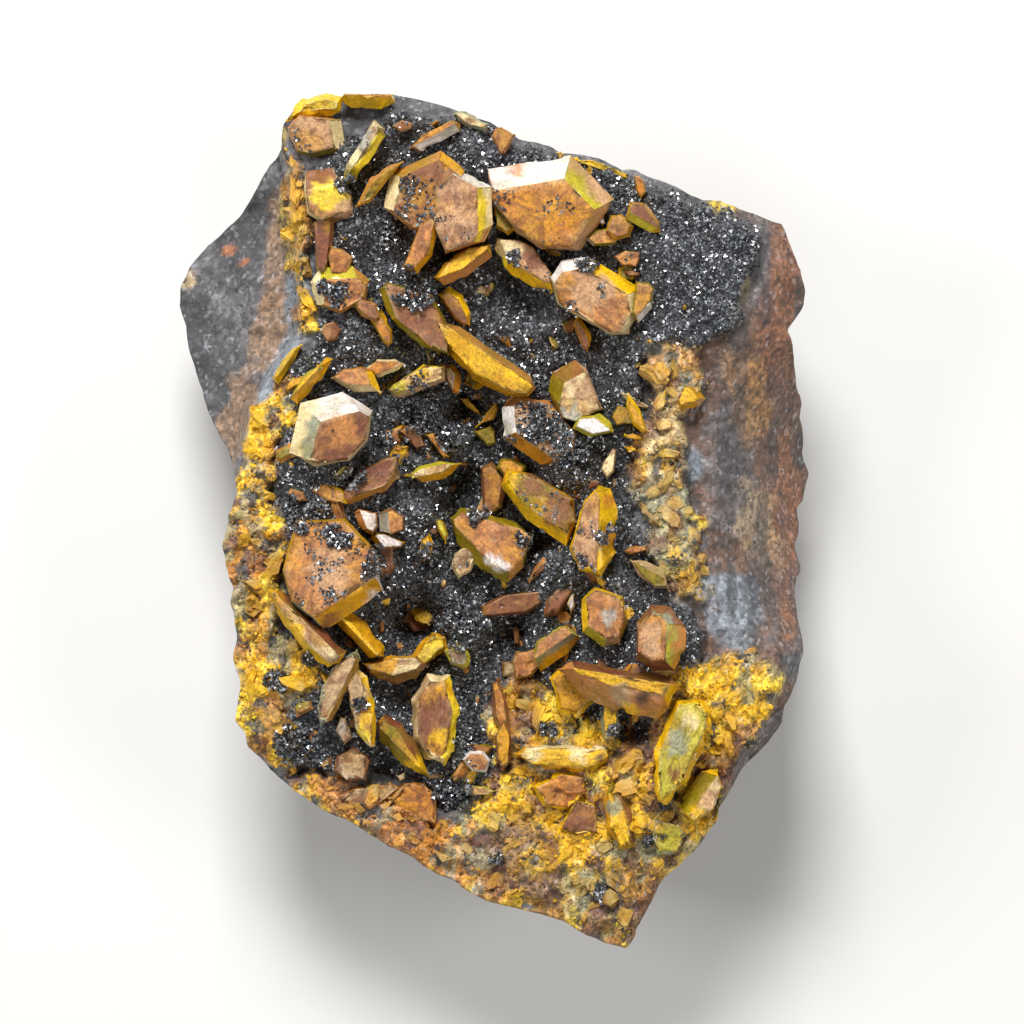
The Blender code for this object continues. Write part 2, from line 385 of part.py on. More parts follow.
        ([(12.3, -22.8), (12.5, -25.0), (13.9, -25.2), (14.5, -23.6), (14.4, -19.6), (12.9, -19.2)],
         [0.3, 0.3, 0.3, 0.4, 0.3, 0.2], (1.3, 5, 180, 3.4)),
    ],
    "yellow_broken_bar": [
        ([(2.3, -26.8), (4.6, -28.4), (8.4, -28.9), (11.2, -29.0), (13.6, -27.4), (13.4, -26.0),
          (12.2, -25.4), (3.6, -25.6)],
         [0.4, 0.6, 0.7, 0.7, 0.4, 0.3, 0.4, 0.3], (1.7, 5, 90, 4.4)),
        ([(4.2, -30.4), (5.8, -33.0), (9.0, -33.4), (11.4, -31.2), (10.6, -29.0), (7.6, -28.6)],
         [0.5, 0.5, 0.5, 0.5, 0.4, 0.4], (1.6, 5, -60, 3.6)),
        ([(7.4, -35.4), (9.4, -36.4), (12.2, -35.8), (12.0, -32.4), (9.2, -31.6)],
         [0.3, 0.3, 0.3, 0.3, 0.3], (1.2, 5, -60, 3.0)),
    ],
    "tall_crumbly_plate": [
        ([(18.4, -26.0), (18.2, -29.4), (18.6, -31.8), (19.8, -32.2), (22.2, -30.0), (24.9, -24.0),
          (25.0, -21.6), (23.8, -19.9), (20.8, -20.3)],
         [0.6, 0.5, 0.3, 0.7, 0.8, 0.6, 0.5, 0.5, 0.6], (1.7, 8, 150, 4.6)),
    ],
    "yellow_upright_block": [
        ([(12.6, -31.2), (12.9, -35.4), (14.2, -37.8), (16.4, -37.4), (16.2, -33.6), (15.0, -30.4),
          (13.6, -29.4)],
         [0.5, 0.6, 0.4, 0.7, 0.9, 0.5, 0.4], (1.5, 5, 180, 4.0)),
    ],
    "yellow_cream_plate": [
        ([(20.9, -32.6), (22.8, -34.6), (25.2, -33.4), (26.4, -30.2), (25.8, -28.2), (23.8, -28.5)],
         [0.4, 0.3, 0.3, 0.3, 0.3, 1.8], (1.6, 8, 0, 3.4)),
    ],
    "granular_cross_ridge": [
        ([(17.4, 17.6), (19.6, 16.6), (23.2, 17.4), (24.2, 19.4), (21.6, 20.8), (18.4, 20.4)],
         [0.5, 0.5, 0.5, 0.5, 0.5, 0.5], (1.2, 8, 80, 1.4)),
        ([(16.9, 14.6), (17.4, 9.6), (19.4, 8.2), (21.4, 11.6), (21.6, 16.4), (19.6, 18.4), (17.6, 17.6)],
         [0.5, 0.5, 0.5, 0.5, 0.5, 0.5, 0.5], (1.3, 8, 185, 1.6)),
        ([(16.2, 6.8), (16.8, 2.2), (19.0, -0.4), (21.8, 0.8), (22.4, 6.0), (20.6, 9.6), (17.6, 9.8)],
         [0.6, 0.6, 0.6, 0.6, 0.6, 0.6, 0.6], (1.4, 8, 200, 1.8)),
        ([(18.0, -3.2), (20.6, -8.6), (23.8, -7.6), (24.6, -3.0), (23.6, 1.8), (21.2, 3.4), (18.6, 1.2)],
         [0.6, 0.6, 0.6, 0.6, 0.6, 0.6, 0.6], (1.4, 8, 200, 1.8)),
    ],
    "left_rim_crumbs": [
        ([(-29.4, 12.8), (-29.4, 6.6), (-27.4, 4.2), (-25.4, 7.0), (-25.2, 13.0), (-26.8, 15.0)],
         [0.6, 0.6, 0.6, 0.6, 0.6, 0.6], (1.6, 10, 170, 2.0)),
        ([(-30.0, 4.6), (-30.2, -0.8), (-28.4, -3.0), (-25.8, -0.4), (-25.6, 4.6), (-27.6, 7.0)],
         [0.6, 0.6, 0.6, 0.6, 0.6, 0.6], (1.6, 10, 190, 2.0)),
        ([(-30.4, -3.6), (-30.2, -9.2), (-28.2, -11.4), (-26.2, -9.0), (-25.6, -3.4), (-27.8, -1.2)],
         [0.6, 0.6, 0.6, 0.6, 0.6, 0.6], (1.6, 10, 170, 2.0)),
        ([(-30.0, -12.4), (-29.6, -17.6), (-27.4, -19.6), (-24.8, -17.4), (-25.0, -12.2), (-27.6, -9.6)],
         [0.6, 0.6, 0.6, 0.6, 0.6, 0.6], (1.6, 10, 190, 2.0)),
        ([(-28.8, -19.6), (-28.6, -24.4), (-26.2, -26.6), (-22.8, -24.4), (-22.6, -20.2), (-26.0, -16.2)],
         [0.6, 0.6, 0.6, 0.6, 0.6, 0.6], (1.6, 10, 200, 2.0)),
    ],
}


def outline_radius(angle):
    """How far the outline is from the heart in a direction, read along the outline's points."""
    points = np.array(OUTLINE) - HEART
    angles = np.arctan2(points[:, 1], points[:, 0])
    order = np.argsort(angles)
    radii = np.hypot(points[:, 0], points[:, 1])
    return np.interp(angle, angles[order], radii[order], period=2 * math.pi)


def relief(x, y):
    """Height of the rock's front: a smooth blend of the relief's values, less ledge, side and caves."""
    column, row = np.meshgrid(RELIEF_X, RELIEF_Y)
    apart = (x[..., None] - column.ravel()) ** 2 + (y[..., None] - row.ravel()) ** 2
    weight = np.exp(-apart / (2 * RELIEF_REACH**2))
    height = (weight * np.ravel(RELIEF)).sum(-1) / weight.sum(-1)

    left = line_at(LEDGE, y) - x
    step = np.clip(left / LEDGE_RUN, 0, 1)
    height = height - LEDGE_DROP * step - WING_SLOPE * np.clip(left, 0, None)

    right = np.clip(x - line_at(RIDGE, y), 0, None)
    height = height - line_at(RIDGE_SLOPE, y) * right - RIDGE_BEND * right**2
    for cave_x, cave_y, radius, depth in CAVES:
        height = height - depth * np.exp(-((x - cave_x) ** 2 + (y - cave_y) ** 2) / radius**2)
    return height


def line_at(line, y):
    """x along a line given as (y, x) points."""
    rows = sorted(line)
    return np.interp(y, [row[0] for row in rows], [row[1] for row in rows])


def druse_top(x, y):
    """Height that the black druse adds to the rock: an even crust and its mounds."""
    height = np.full_like(x, DRUSE_THICK)
    for lump_x, lump_y, radius, rise in DRUSE_LUMPS:
        height = height + rise * np.exp(-((x - lump_x) ** 2 + (y - lump_y) ** 2) / radius**2)
    return height


def front_grid():
    """A square grid rounded to a disc, then drawn out to the outline: x, y of its points."""
    side = np.linspace(-1, 1, GRID_CELLS + 1)
    s, t = np.meshgrid(side, side, indexing="ij")
    x, y = s * np.sqrt(1 - t**2 / 2), t * np.sqrt(1 - s**2 / 2)
    share, heading = np.hypot(x, y), np.arctan2(y, x)
    radius = outline_radius(heading)
    return HEART[0] + share * radius * np.cos(heading), HEART[1] + share * radius * np.sin(heading)


def inside(polygon, x, y):
    """Whether points lie inside a polygon, by counting the edges that a ray crosses."""
    crossed = np.zeros(x.shape, bool)
    for (x1, y1), (x2, y2) in zip(polygon, polygon[1:] + polygon[:1]):
        spans = (y1 > y) != (y2 > y)
        crossed ^= spans & (x < (x2 - x1) * (y - y1) / ((y2 - y1) or 1) + x1)
    return crossed


def cells_inside(polygon, x, y):
    """The grid's cells whose middles are inside, with no two that meet only at a corner."""
    middle_x = (x[1:, 1:] + x[:-1, :-1] + x[1:, :-1] + x[:-1, 1:]) / 4
    middle_y = (y[1:, 1:] + y[:-1, :-1] + y[1:, :-1] + y[:-1, 1:]) / 4
    return fill_corners(inside(polygon, middle_x, middle_y))


def fill_corners(cells):
    """Adds a cell wherever two cells touch at one corner alone."""
    while True:
        a, b, c, d = cells[:-1, :-1], cells[1:, :-1], cells[:-1, 1:], cells[1:, 1:]
        fall = a & d & ~b & ~c
        rise = b & c & ~a & ~d
        if not (fall | rise).any():
            return cells
        cells[1:, :-1] |= fall
        cells[:-1, :-1] |= rise


def corners_of(cells):
    """The grid's points that the given cells use."""
    used = np.zeros((GRID_CELLS + 1, GRID_CELLS + 1), bool)
    for i in (0, 1):
        for j in (0, 1):
            used[i : i + GRID_CELLS, j : j + GRID_CELLS] |= cells
    return used


def grown(cells):
    """The cells and all that touch them."""
    wide = np.pad(cells, 1)
    rows, columns = cells.shape
    return np.any([wide[i : i + rows, j : j + columns] for i in range(3) for j in range(3)], axis=0)


def boundary_ring():
    """Indices of the grid's outer points, anticlockwise from above."""
    n = GRID_CELLS
    ring = [(i, 0) for i in range(n)] + [(n, j) for j in range(n)]
    return ring + [(i, n) for i in range(n, 0, -1)] + [(0, j) for j in range(n, 0, -1)]


def top_faces(cells=None):
    """Two triangles for each cell of the grid, or of the given cells, split towards its corners."""
    n = GRID_CELLS + 1
    faces = []
    for i in range(GRID_CELLS):
        for j in range(GRID_CELLS):
            if cells is None or cells[i, j]:
                a, b, c, d = i * n + j, (i + 1) * n + j, (i + 1) * n + j + 1, i * n + j + 1
                outward = (2 * i < GRID_CELLS) == (2 * j < GRID_CELLS)
                faces += [(a, b, c), (a, c, d)] if outward else [(a, b, d), (b, c, d)]
    return faces


def add_object(name, points, faces, material=None):
    """A mesh object from points in millimetres. Without a material it is a hidden cutter."""
    mesh = bpy.data.meshes.new(name)
    mesh.from_pydata([tuple(MM * float(value) for value in point) for point in points], [], faces)
    mesh.update()
    item = bpy.data.objects.new(name, mesh)
    bpy.context.scene.collection.objects.link(item)
    if material:
        mesh.materials.append(material)
    else:
        item.hide_render = True
        item.display_type = "WIRE"
    return item


def add_material(name, color, roughness):
    """A plain finish for one kind of piece."""
    material = bpy.data.materials.new(name)
    material.use_nodes = True
    shader = material.node_tree.nodes["Principled BSDF"]
    shader.inputs["Base Color"].default_value = (*color, 1)
    shader.inputs["Roughness"].default_value = roughness
    shader.inputs["Metallic"].default_value = 0
    return material


def add_rock(x, y, height, material):
    """The matrix: the front's grid, walls that draw in below it, and a flat broken back."""
    points = np.stack([x, y, height], -1).reshape(-1, 3).tolist()
    faces = top_faces()
    n = GRID_CELLS + 1
    upper = [i * n + j for i, j in boundary_ring()]
    rim = np.array([points[index] for index in upper])
    count = len(upper)
    for share, amount, rise in UNDERSIDE + [(FLAT_RING[0], FLAT_RING[1], 0)]:
        step = count // amount
        start = len(points)
        for x0, y0, z0 in rim[::step]:
            points.append([HEART[0] + share * (x0 - HEART[0]), HEART[1] + share * (y0 - HEART[1]), rise * z0])
        lower = list(range(start, start + amount))
        faces += join_rings(upper, lower)
        upper = lower
    faces.append(tuple(reversed(upper)))
    return add_object("matrix_rock", points, faces, material)


def join_rings(upper, lower):
    """Triangles between two rings, where the upper one has as many points or twice as many."""
    ratio = len(upper) // len(lower)
    faces = []
    for i, low in enumerate(lower):
        next_low = lower[(i + 1) % len(lower)]
        run = [upper[(ratio * i + k) % len(upper)] for k in range(ratio + 1)]
        faces.append((low, next_low, run[-1]))
        faces += [(low, run[k + 1], run[k]) for k in range(ratio)]
    return faces


def add_crust(name, cells, x, y, under, over, material):
    """A skin over some of the grid's cells, from one height to another, closed round its edge."""
    n = GRID_CELLS + 1
    top = np.stack([x, y, over], -1).reshape(-1, 3)
    bottom = np.stack([x, y, under], -1).reshape(-1, 3)
    faces = top_faces(cells)
    sides = {(face[k], face[(k + 1) % 3]) for face in faces for k in range(3)}
    rim = [(a, b) for a, b in sorted(sides) if (b, a) not in sides]
    below = [tuple(n * n + index for index in reversed(face)) for face in faces]
    walls = [(b, a, n * n + a) for a, b in rim] + [(b, n * n + a, n * n + b) for a, b in rim]
    used = sorted({index for face in faces + below for index in face})
    place = {index: k for k, index in enumerate(used)}
    both = np.concatenate([top, bottom])
    renumbered = [tuple(place[index] for index in face) for face in faces + below + walls]
    return add_object(name, both[used], renumbered, material)


def add_ground(x, y, height):
    """A block up to just over the rock and its crusts, which cuts off what is buried."""
    n = GRID_CELLS + 1
    points = np.stack([x, y, height + GAP], -1).reshape(-1, 3)
    rim = [i * n + j for i, j in boundary_ring()]
    out = points[rim, :2] - HEART
    points[rim, :2] += GAP * out / np.linalg.norm(out, axis=1, keepdims=True)
    bottom = points[rim] * (1, 1, 0) - (0, 0, 1)
    faces = top_faces() + join_rings(rim, list(range(n * n, n * n + len(rim))))
    faces.append(tuple(range(n * n + len(rim) - 1, n * n - 1, -1)))
    return add_object("ground_cutter", np.concatenate([points, bottom]), faces)


def inset_corners(corners, insets):
    """Corners of the outline with each side moved in. A side that would vanish moves in until it shows."""
    side = np.roll(corners, -1, axis=0) - corners
    inward = np.stack([-side[:, 1], side[:, 0]], 1) / np.linalg.norm(side, axis=1, keepdims=True)
    before = np.roll(inward, 1, axis=0)
    spread = before[:, 0] * inward[:, 1] - before[:, 1] * inward[:, 0]
    insets = np.array(insets, float)
    while True:
        reach = (inward * corners).sum(1) + insets
        last = np.roll(reach, 1)
        x = (last * inward[:, 1] - reach * before[:, 1]) / spread
        y = (before[:, 0] * reach - inward[:, 0] * last) / spread
        moved = np.stack([x, y], 1)
        along = ((np.roll(moved, -1, axis=0) - moved) * side).sum(1)
        lost = along < LEAST_SIDE * (side**2).sum(1)
        if not lost.any() or insets.max() > MOST_INSET:
            return moved
        insets = insets + INSET_STEP * lost


def crystal_shape(crystal, ground_at, spare=0.0):
    """Points and faces of one bevelled plate at its place, spare millimetres fat."""
    corners, insets, (drop, lean, toward, up) = crystal
    outline = np.array(corners, float)
    middle = outline.mean(axis=0)
    face = inset_corners(outline, insets)
    if spare:
        grown_outline = inset_corners(outline, [-spare] * len(outline))
        face, outline = face + (grown_outline - outline), grown_outline
    heading = math.radians(toward)
    fall = -math.tan(math.radians(lean)) * np.array([math.cos(heading), math.sin(heading)])
    top = ground_at(*middle) + up
    points = []
    for ring, level in ((face, spare), (outline, -drop), (face, -max(2 * drop, up + 1) - spare)):
        points += [(x, y, top + level + float(fall @ ((x, y) - middle))) for x, y in ring]
    count = len(outline)
    faces = [tuple(range(count)), tuple(reversed(range(2 * count, 3 * count)))]
    for ring in range(2):
        for k in range(count):
            a, b = count * ring + k, count * ring + (k + 1) % count
            faces.append((a, a + count, b + count, b))
    return points, faces


def add_crystal(name, crystal, ground_at, material=None, spare=0.0):
    """One crystal at its place over the ground."""
    points, faces = crystal_shape(crystal, ground_at, spare)
    return add_object(name, points, faces, material)


def add_boolean(item, other, operation):
    modifier = item.modifiers.new(f"{operation.lower()}_{other.name}", "BOOLEAN")
    modifier.operation = operation
    modifier.object = other


def bounds_of(crystals, ground_at):
    """Box of a node's crystals, as its lowest and highest corner."""
    corners = [point for crystal in crystals for point in crystal_shape(crystal, ground_at, GAP)[0]]
    return np.min(corners, axis=0), np.max(corners, axis=0)


def add_crystal_nodes(ground_at, ground, material):
    """Each node's crystals joined, cut off at the ground, and kept clear of the nodes before it."""
    boxes = {}
    for name, crystals in CRYSTALS.items():
        item = add_crystal(name, crystals[0], ground_at, material)
        for k, crystal in enumerate(crystals[1:]):
            add_boolean(item, add_crystal(f"{name}_{k}", crystal, ground_at), "UNION")
        low, high = bounds_of(crystals, ground_at)
        for other, (other_low, other_high) in boxes.items():
            if (low < other_high).all() and (other_low < high).all():
                for k, crystal in enumerate(CRYSTALS[other]):
                    cutter = add_crystal(f"{name}_clear_of_{other}_{k}", crystal, ground_at, None, GAP)
                    add_boolean(item, cutter, "DIFFERENCE")
        add_boolean(item, ground, "DIFFERENCE")
        boxes[name] = (low, high)


def build():
    for item in list(bpy.data.objects):
        bpy.data.objects.remove(item)
    rock = add_material("dark_ore_rock", (0.09, 0.075, 0.07), 0.75)
    druse = add_material("black_druse", (0.02, 0.021, 0.025), 0.3)
    crumbs = add_material("broken_sturmanite", (0.55, 0.38, 0.06), 0.6)
    sturmanite = add_material("sturmanite", (0.62, 0.33, 0.05), 0.35)

    x, y = front_grid()
    x, y = x - (x.min() + x.max()) / 2, y - (y.min() + y.max()) / 2
    base = relief(x, y)
    add_rock(x, y, base, rock)

    hollow = cells_inside(HOLLOW, x, y)
    add_crust("black_druse_crust", hollow, x, y, base + GAP, base + druse_top(x, y), druse)
    crumbled = fill_corners(cells_inside(CRUMBLED, x, y) & ~grown(hollow))
    add_crust("lower_crumbled_mass", crumbled, x, y, base + GAP, base + CRUMB_THICK, crumbs)

    ground_height = np.where(corners_of(hollow), base + druse_top(x, y), base)
    ground_height = np.where(corners_of(crumbled), base + CRUMB_THICK, ground_height)
    ground = add_ground(x, y, ground_height)

    def ground_at(at_x, at_y):
        here = np.array([at_x]), np.array([at_y])
        return float(relief(*here)[0] + inside(HOLLOW, *here)[0] * druse_top(*here)[0])

    add_crystal_nodes(ground_at, ground, sturmanite)


build()
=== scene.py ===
# The sturmanite specimen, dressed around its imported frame: a broken piece of dark ore rock, the black
# druse in its hollow, the bevelled hexagonal crystals and the crumbled ones, all worn and stained.
# Everything is worked out in millimetres, with +Y up the photograph and +Z towards the camera.
import itertools
import math

import bpy
import numpy as np
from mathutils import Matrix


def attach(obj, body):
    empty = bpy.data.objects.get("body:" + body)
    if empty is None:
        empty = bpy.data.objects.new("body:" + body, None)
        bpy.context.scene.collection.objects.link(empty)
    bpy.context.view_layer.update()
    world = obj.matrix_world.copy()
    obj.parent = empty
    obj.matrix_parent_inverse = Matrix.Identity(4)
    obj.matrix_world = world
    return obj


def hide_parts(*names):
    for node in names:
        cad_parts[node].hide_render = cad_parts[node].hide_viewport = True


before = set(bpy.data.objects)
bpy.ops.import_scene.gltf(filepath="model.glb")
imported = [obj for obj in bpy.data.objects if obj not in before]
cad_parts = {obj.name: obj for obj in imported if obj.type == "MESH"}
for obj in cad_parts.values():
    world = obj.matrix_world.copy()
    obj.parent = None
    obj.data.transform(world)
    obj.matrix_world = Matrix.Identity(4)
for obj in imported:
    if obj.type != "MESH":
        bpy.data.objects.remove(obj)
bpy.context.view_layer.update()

mm = 0.001

# Colours as the eye names them, in sRGB hex. The pale blue-grey after the druse is no colour of the
# specimen: it is a painted highlight laid on grains of rock and druse.
hues = {
    "rock": "#5A585A", "blueRock": "#737A82", "darkRock": "#363538", "druse": "#2B2D32", "paintedGlint": "#9CA1A9",
    "brownRock": "#654631", "rust": "#8E5429", "umber": "#84664A", "ochre": "#AE7C38", "sand": "#AE936C",
    "tan": "#B87A40", "orange": "#B97624", "redBrown": "#73422A", "pink": "#BE946C", "brown": "#815130",
    "gold": "#C98F0C", "yellow": "#E2B010", "lemon": "#E6C62A", "olive": "#80700F", "lime": "#B3A72E",
    "cream": "#DCC694", "white": "#DDD5CE", "grey": "#A3A094", "greyGreen": "#8B8D74",
}


# sRGB hex to linear light: s / 12.92 up to 0.04045, and ((s + 0.055) / 1.055)^2.4 above it.
def linear(code):
    shares = np.array([int(code[start : start + 2], 16) / 255 for start in (1, 3, 5)])
    return np.where(shares <= 0.04045, shares / 12.92, ((shares + 0.055) / 1.055) ** 2.4)


hue = {name: linear(code) for name, code in hues.items()}


# 0 below low, 1 above high, and 3t² - 2t³ between.
def smooth(low, high, value):
    part = np.clip((value - low) / (high - low), 0, 1)
    return part * part * (3 - 2 * part)


# Random values at the corners of cubes of a given size, blended inside each cube: 0 to 1.
def noise(points, size, seed):
    lattice = np.random.default_rng(seed).random((24, 24, 24))
    place = points / size + 480
    cell = np.floor(place).astype(int)
    part = place - cell
    part = part * part * (3 - 2 * part)
    total = np.zeros(points.shape[:-1])
    for corner in itertools.product((0, 1), repeat=3):
        index = (cell + corner) % 24
        weight = np.where(corner, part, 1 - part).prod(-1)
        total += weight * lattice[index[..., 0], index[..., 1], index[..., 2]]
    return total


# Noise summed over octaves, each half the size and half the height of the last: about -1 to 1.
def rough(points, size, seed, octaves=4):
    return sum((2 * noise(points, size / 2**k, seed + k) - 1) / 2**k for k in range(octaves))


# Noise folded at its middle into sharp crests, over three octaves: 0 to 1.
def crests(points, size, seed):
    folds = [(1 - np.abs(2 * noise(points, size / 2**k, seed + k) - 1)) / 2**k for k in range(3)]
    return sum(folds) / 1.75


# x, y and a third coordinate as one array.
def stacked(x, y, z=0.0):
    return np.stack(np.broadcast_arrays(x, y, z), -1).astype(float)


# The direction of an angle in degrees, as its cosine and sine.
def headed(degrees):
    return np.array([math.cos(math.radians(degrees)), math.sin(math.radians(degrees))])


# Distance to a polygon's nearest edge, above zero inside.
def insideBy(polygon, x, y):
    corners = np.array(polygon, float)
    nearest = np.full(x.shape, 1e9)
    crossed = np.zeros(x.shape, bool)
    for (x1, y1), (x2, y2) in zip(corners, np.roll(corners, -1, 0)):
        along = ((x - x1) * (x2 - x1) + (y - y1) * (y2 - y1)) / ((x2 - x1) ** 2 + (y2 - y1) ** 2)
        along = np.clip(along, 0, 1)
        nearest = np.minimum(nearest, np.hypot(x - x1 - along * (x2 - x1), y - y1 - along * (y2 - y1)))
        spans = (y1 > y) != (y2 > y)
        crossed ^= spans & (x < (x2 - x1) * (y - y1) / ((y2 - y1) or 1) + x1)
    return np.where(crossed, nearest, -nearest)


# A mesh object from points in millimetres and triangles, with colours and numbers kept on its points.
def addPiece(name, points, triangles, material, isSmooth=False, **values):
    mesh = bpy.data.meshes.new(name)
    mesh.vertices.add(len(points))
    mesh.vertices.foreach_set("co", (points * mm).astype(np.float32).ravel())
    mesh.loops.add(3 * len(triangles))
    mesh.loops.foreach_set("vertex_index", triangles.astype(np.int32).ravel())
    mesh.polygons.add(len(triangles))
    mesh.polygons.foreach_set("loop_start", np.arange(0, 3 * len(triangles), 3, dtype=np.int32))
    mesh.update(calc_edges=True)
    mesh.shade_smooth() if isSmooth else mesh.shade_flat()
    for key, value in values.items():
        kind, socket = ("FLOAT_COLOR", "color") if value.ndim == 2 else ("FLOAT", "value")
        if value.ndim == 2:
            value = np.concatenate([value, np.ones((len(value), 1))], 1)
        kept = mesh.attributes.new(key, kind, "POINT").data
        kept.foreach_set(socket, value.astype(np.float32).ravel())
    mesh.materials.append(material)
    piece = bpy.data.objects.new(name, mesh)
    bpy.context.scene.collection.objects.link(piece)
    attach(piece, "root")
    return piece


# The rock: its outline and its relief as in the CAD, and how its surface is broken.
rock = {
    "heart": (1.8, 2.6), "cells": 250, "sideRings": 30, "baseRings": 6,
    "outline": [
        (36.6, 2.6), (37.1, 6.1), (35.8, 12.4), (36.0, 14.1), (35.2, 17.8), (34.0, 22.4), (35.9, 25.1),
        (36.1, 26.8), (34.6, 31.4), (33.5, 34.8), (28.3, 36.6), (24.3, 37.5), (19.6, 39.8), (16.8, 40.9),
        (14.8, 40.8), (12.2, 42.2), (7.6, 43.2), (3.0, 44.6), (-1.8, 46.9), (-6.2, 48.6), (-10.8, 49.5),
        (-17.7, 49.6), (-20.8, 49.5), (-23.2, 48.1), (-24.4, 46.1), (-24.6, 43.4), (-28.3, 38.8),
        (-29.8, 36.2), (-33.1, 33.1), (-35.8, 30.0), (-37.0, 27.5), (-37.1, 25.6), (-36.2, 23.1),
        (-36.0, 20.5), (-34.2, 15.4), (-33.1, 12.1), (-31.5, 9.0), (-30.0, 4.8), (-29.8, 3.5),
        (-31.0, -0.7), (-31.4, -3.1), (-30.4, -7.7), (-30.5, -10.0), (-30.0, -13.5), (-30.4, -15.5),
        (-29.3, -18.3), (-30.2, -23.1), (-28.9, -24.4), (-28.6, -25.9), (-25.2, -29.7), (-22.5, -31.7),
        (-17.3, -34.6), (-13.9, -36.5), (-9.7, -38.8), (-5.1, -41.7), (-0.9, -43.9), (4.1, -45.0),
        (8.1, -46.2), (11.6, -48.2), (15.4, -49.6), (16.4, -48.4), (16.6, -47.3), (19.2, -42.3),
        (23.3, -37.8), (25.9, -34.5), (25.9, -33.1), (28.4, -29.4), (30.9, -26.9), (33.6, -23.3),
        (33.6, -21.2), (35.1, -18.6), (35.8, -14.4), (35.2, -7.7), (36.0, -5.8), (35.5, -3.1), (35.9, 1.7),
    ],
    "reliefX": (-40, -30, -20, -10, 0, 10, 20, 30, 40),
    "reliefY": (50, 40, 30, 20, 10, 0, -10, -20, -30, -40, -50),
    "relief": [
        (25, 25, 25, 26, 25, 23, 22, 22, 22),
        (25, 25, 26, 26, 25, 25, 26, 27, 26),
        (25, 25, 26, 24, 23, 24, 28, 30, 30),
        (25, 25, 26, 23, 21, 22, 28, 30, 30),
        (25, 25, 26, 22, 19, 22, 27, 28, 28),
        (24, 25, 26, 21, 19, 22, 27, 27, 27),
        (22, 24, 25, 20, 18, 22, 27, 27, 27),
        (20, 23, 25, 21, 19, 23, 27, 28, 28),
        (18, 20, 22, 22, 21, 23, 26, 26, 26),
        (14, 16, 19, 21, 22, 23, 23, 22, 22),
        (10, 12, 15, 17, 19, 21, 21, 20, 20),
    ],
    "reliefReach": 4.5,
    "ledge": [
        (50, -26.5), (43.5, -24.2), (37, -22.7), (25, -22.1), (22, -22.3), (16, -26.3), (14, -28.1),
        (5, -29.8), (-5, -34.0),
    ],
    "ledgeDrop": 5.0, "ledgeRun": 1.2, "wingSlope": 0.45,
    "ridge": [
        (40, 34), (36, 30.6), (28.5, 31.5), (25.6, 30), (18.7, 26.6), (14, 26), (8, 24.5), (-4, 24.8),
        (-9, 27), (-15, 32), (-21.5, 32), (-25, 29.4), (-32, 26), (-37.6, 23.5), (-41, 18.5), (-49, 15.6),
    ],
    "ridgeSlope": [(-15, 0.5), (-22, 2.0)], "ridgeBend": 0.06,
    "lumps": [
        (-9.0, 26.6, 2.6, 3.5), (1.8, 22.5, 4.0, 2.5), (-14.8, 22.0, 3.5, 1.5), (-4.0, 10.0, 2.0, 2.5),
        (-8.8, 2.0, 3.2, 2.5), (-11.0, -6.0, 4.5, 2.5), (-2.2, -12.3, 3.2, 3.5), (8.8, 7.2, 3.5, 3.0),
        (7.7, -6.3, 3.5, 2.5), (-19.0, -1.0, 4.0, 1.0), (-16.0, 34.0, 3.0, 1.0), (22.5, 29.0, 6.0, 1.0),
    ],
    "caves": [
        (-3.5, 13.0, 2.6, 4.0), (-3.6, 3.5, 2.5, 5.0), (-9.6, -11.7, 3.5, 6.0), (3.0, 26.5, 3.0, 4.0),
        (5.0, -2.0, 1.6, 3.0), (-13.0, -28.0, 1.8, 3.0), (16.2, -24.1, 2.0, 4.0), (2.0, -13.5, 2.5, 3.0),
    ],
    "side": [(1.0, 1.0), (0.995, 0.93), (0.965, 0.62), (0.90, 0.24), (0.81, 0.04), (0.74, 0.0)],
}

# Where the druse lies, how thick it is, and the five stretches of crumbled crystals: outline, thickness.
hollow = [
    (-11.5, 48.2), (-20, 42), (-20.5, 32), (-20.5, 22), (-24, 16), (-25.5, 8), (-25.5, 0), (-24, -6),
    (-25, -14), (-24, -21), (-25, -27), (-19, -29), (-12, -29.5), (-7, -31), (-3, -34.5), (0, -29.5),
    (3, -24), (11, -24), (17.5, -31), (18, -23), (24.5, -18), (24.2, -12), (19.3, -8), (17, -1),
    (15.5, 4), (17, 14), (18, 20.5), (24, 19.5), (27, 22), (29.3, 28), (29.3, 34.5), (23, 37),
    (15, 39.5), (8, 42), (3, 43.8), (-5.5, 47),
]
druseThick = 1.6
crumbled = {
    "lower": ([(-25, -29), (-18, -28.6), (-12, -30), (-7, -34.5), (-1, -31.5), (0.5, -27), (-1.5, -23),
               (1, -18.5), (6, -18), (10, -22.5), (16, -23.5), (18, -27), (19, -32), (24, -31),
               (26.5, -34), (17, -51), (3, -47), (-6, -43), (-14, -38.5), (-24, -33)], 2.0),
    "left": ([(-24, 17), (-22.6, 12), (-25, 8), (-25.5, 2), (-23.8, -2), (-24.5, -12), (-20.5, -14),
              (-20.5, -19), (-24, -22), (-21, -26), (-24, -30), (-31, -25), (-32, -17), (-32, -8),
              (-32, -1), (-29.6, 6), (-28, 14)], 1.4),
    "right": ([(17.2, 21), (24, 20.5), (24.5, 16), (22.2, 12), (21.8, 6), (23.6, 0), (24.6, -7),
               (21, -9), (18, -3), (15.8, 4), (16, 9), (18, 12)], 1.6),
    "corner": ([(18, -17), (24.5, -15), (30, -14), (33, -18), (31, -23), (27, -28), (25.5, -33),
                (22, -32), (18, -31)], 1.0),
    "ledge": ([(-24.9, 44), (-22.2, 41.5), (-21, 36), (-21.2, 28), (-20.2, 22), (-22.6, 21),
               (-23.2, 28), (-24.4, 37)], 0.8),
}

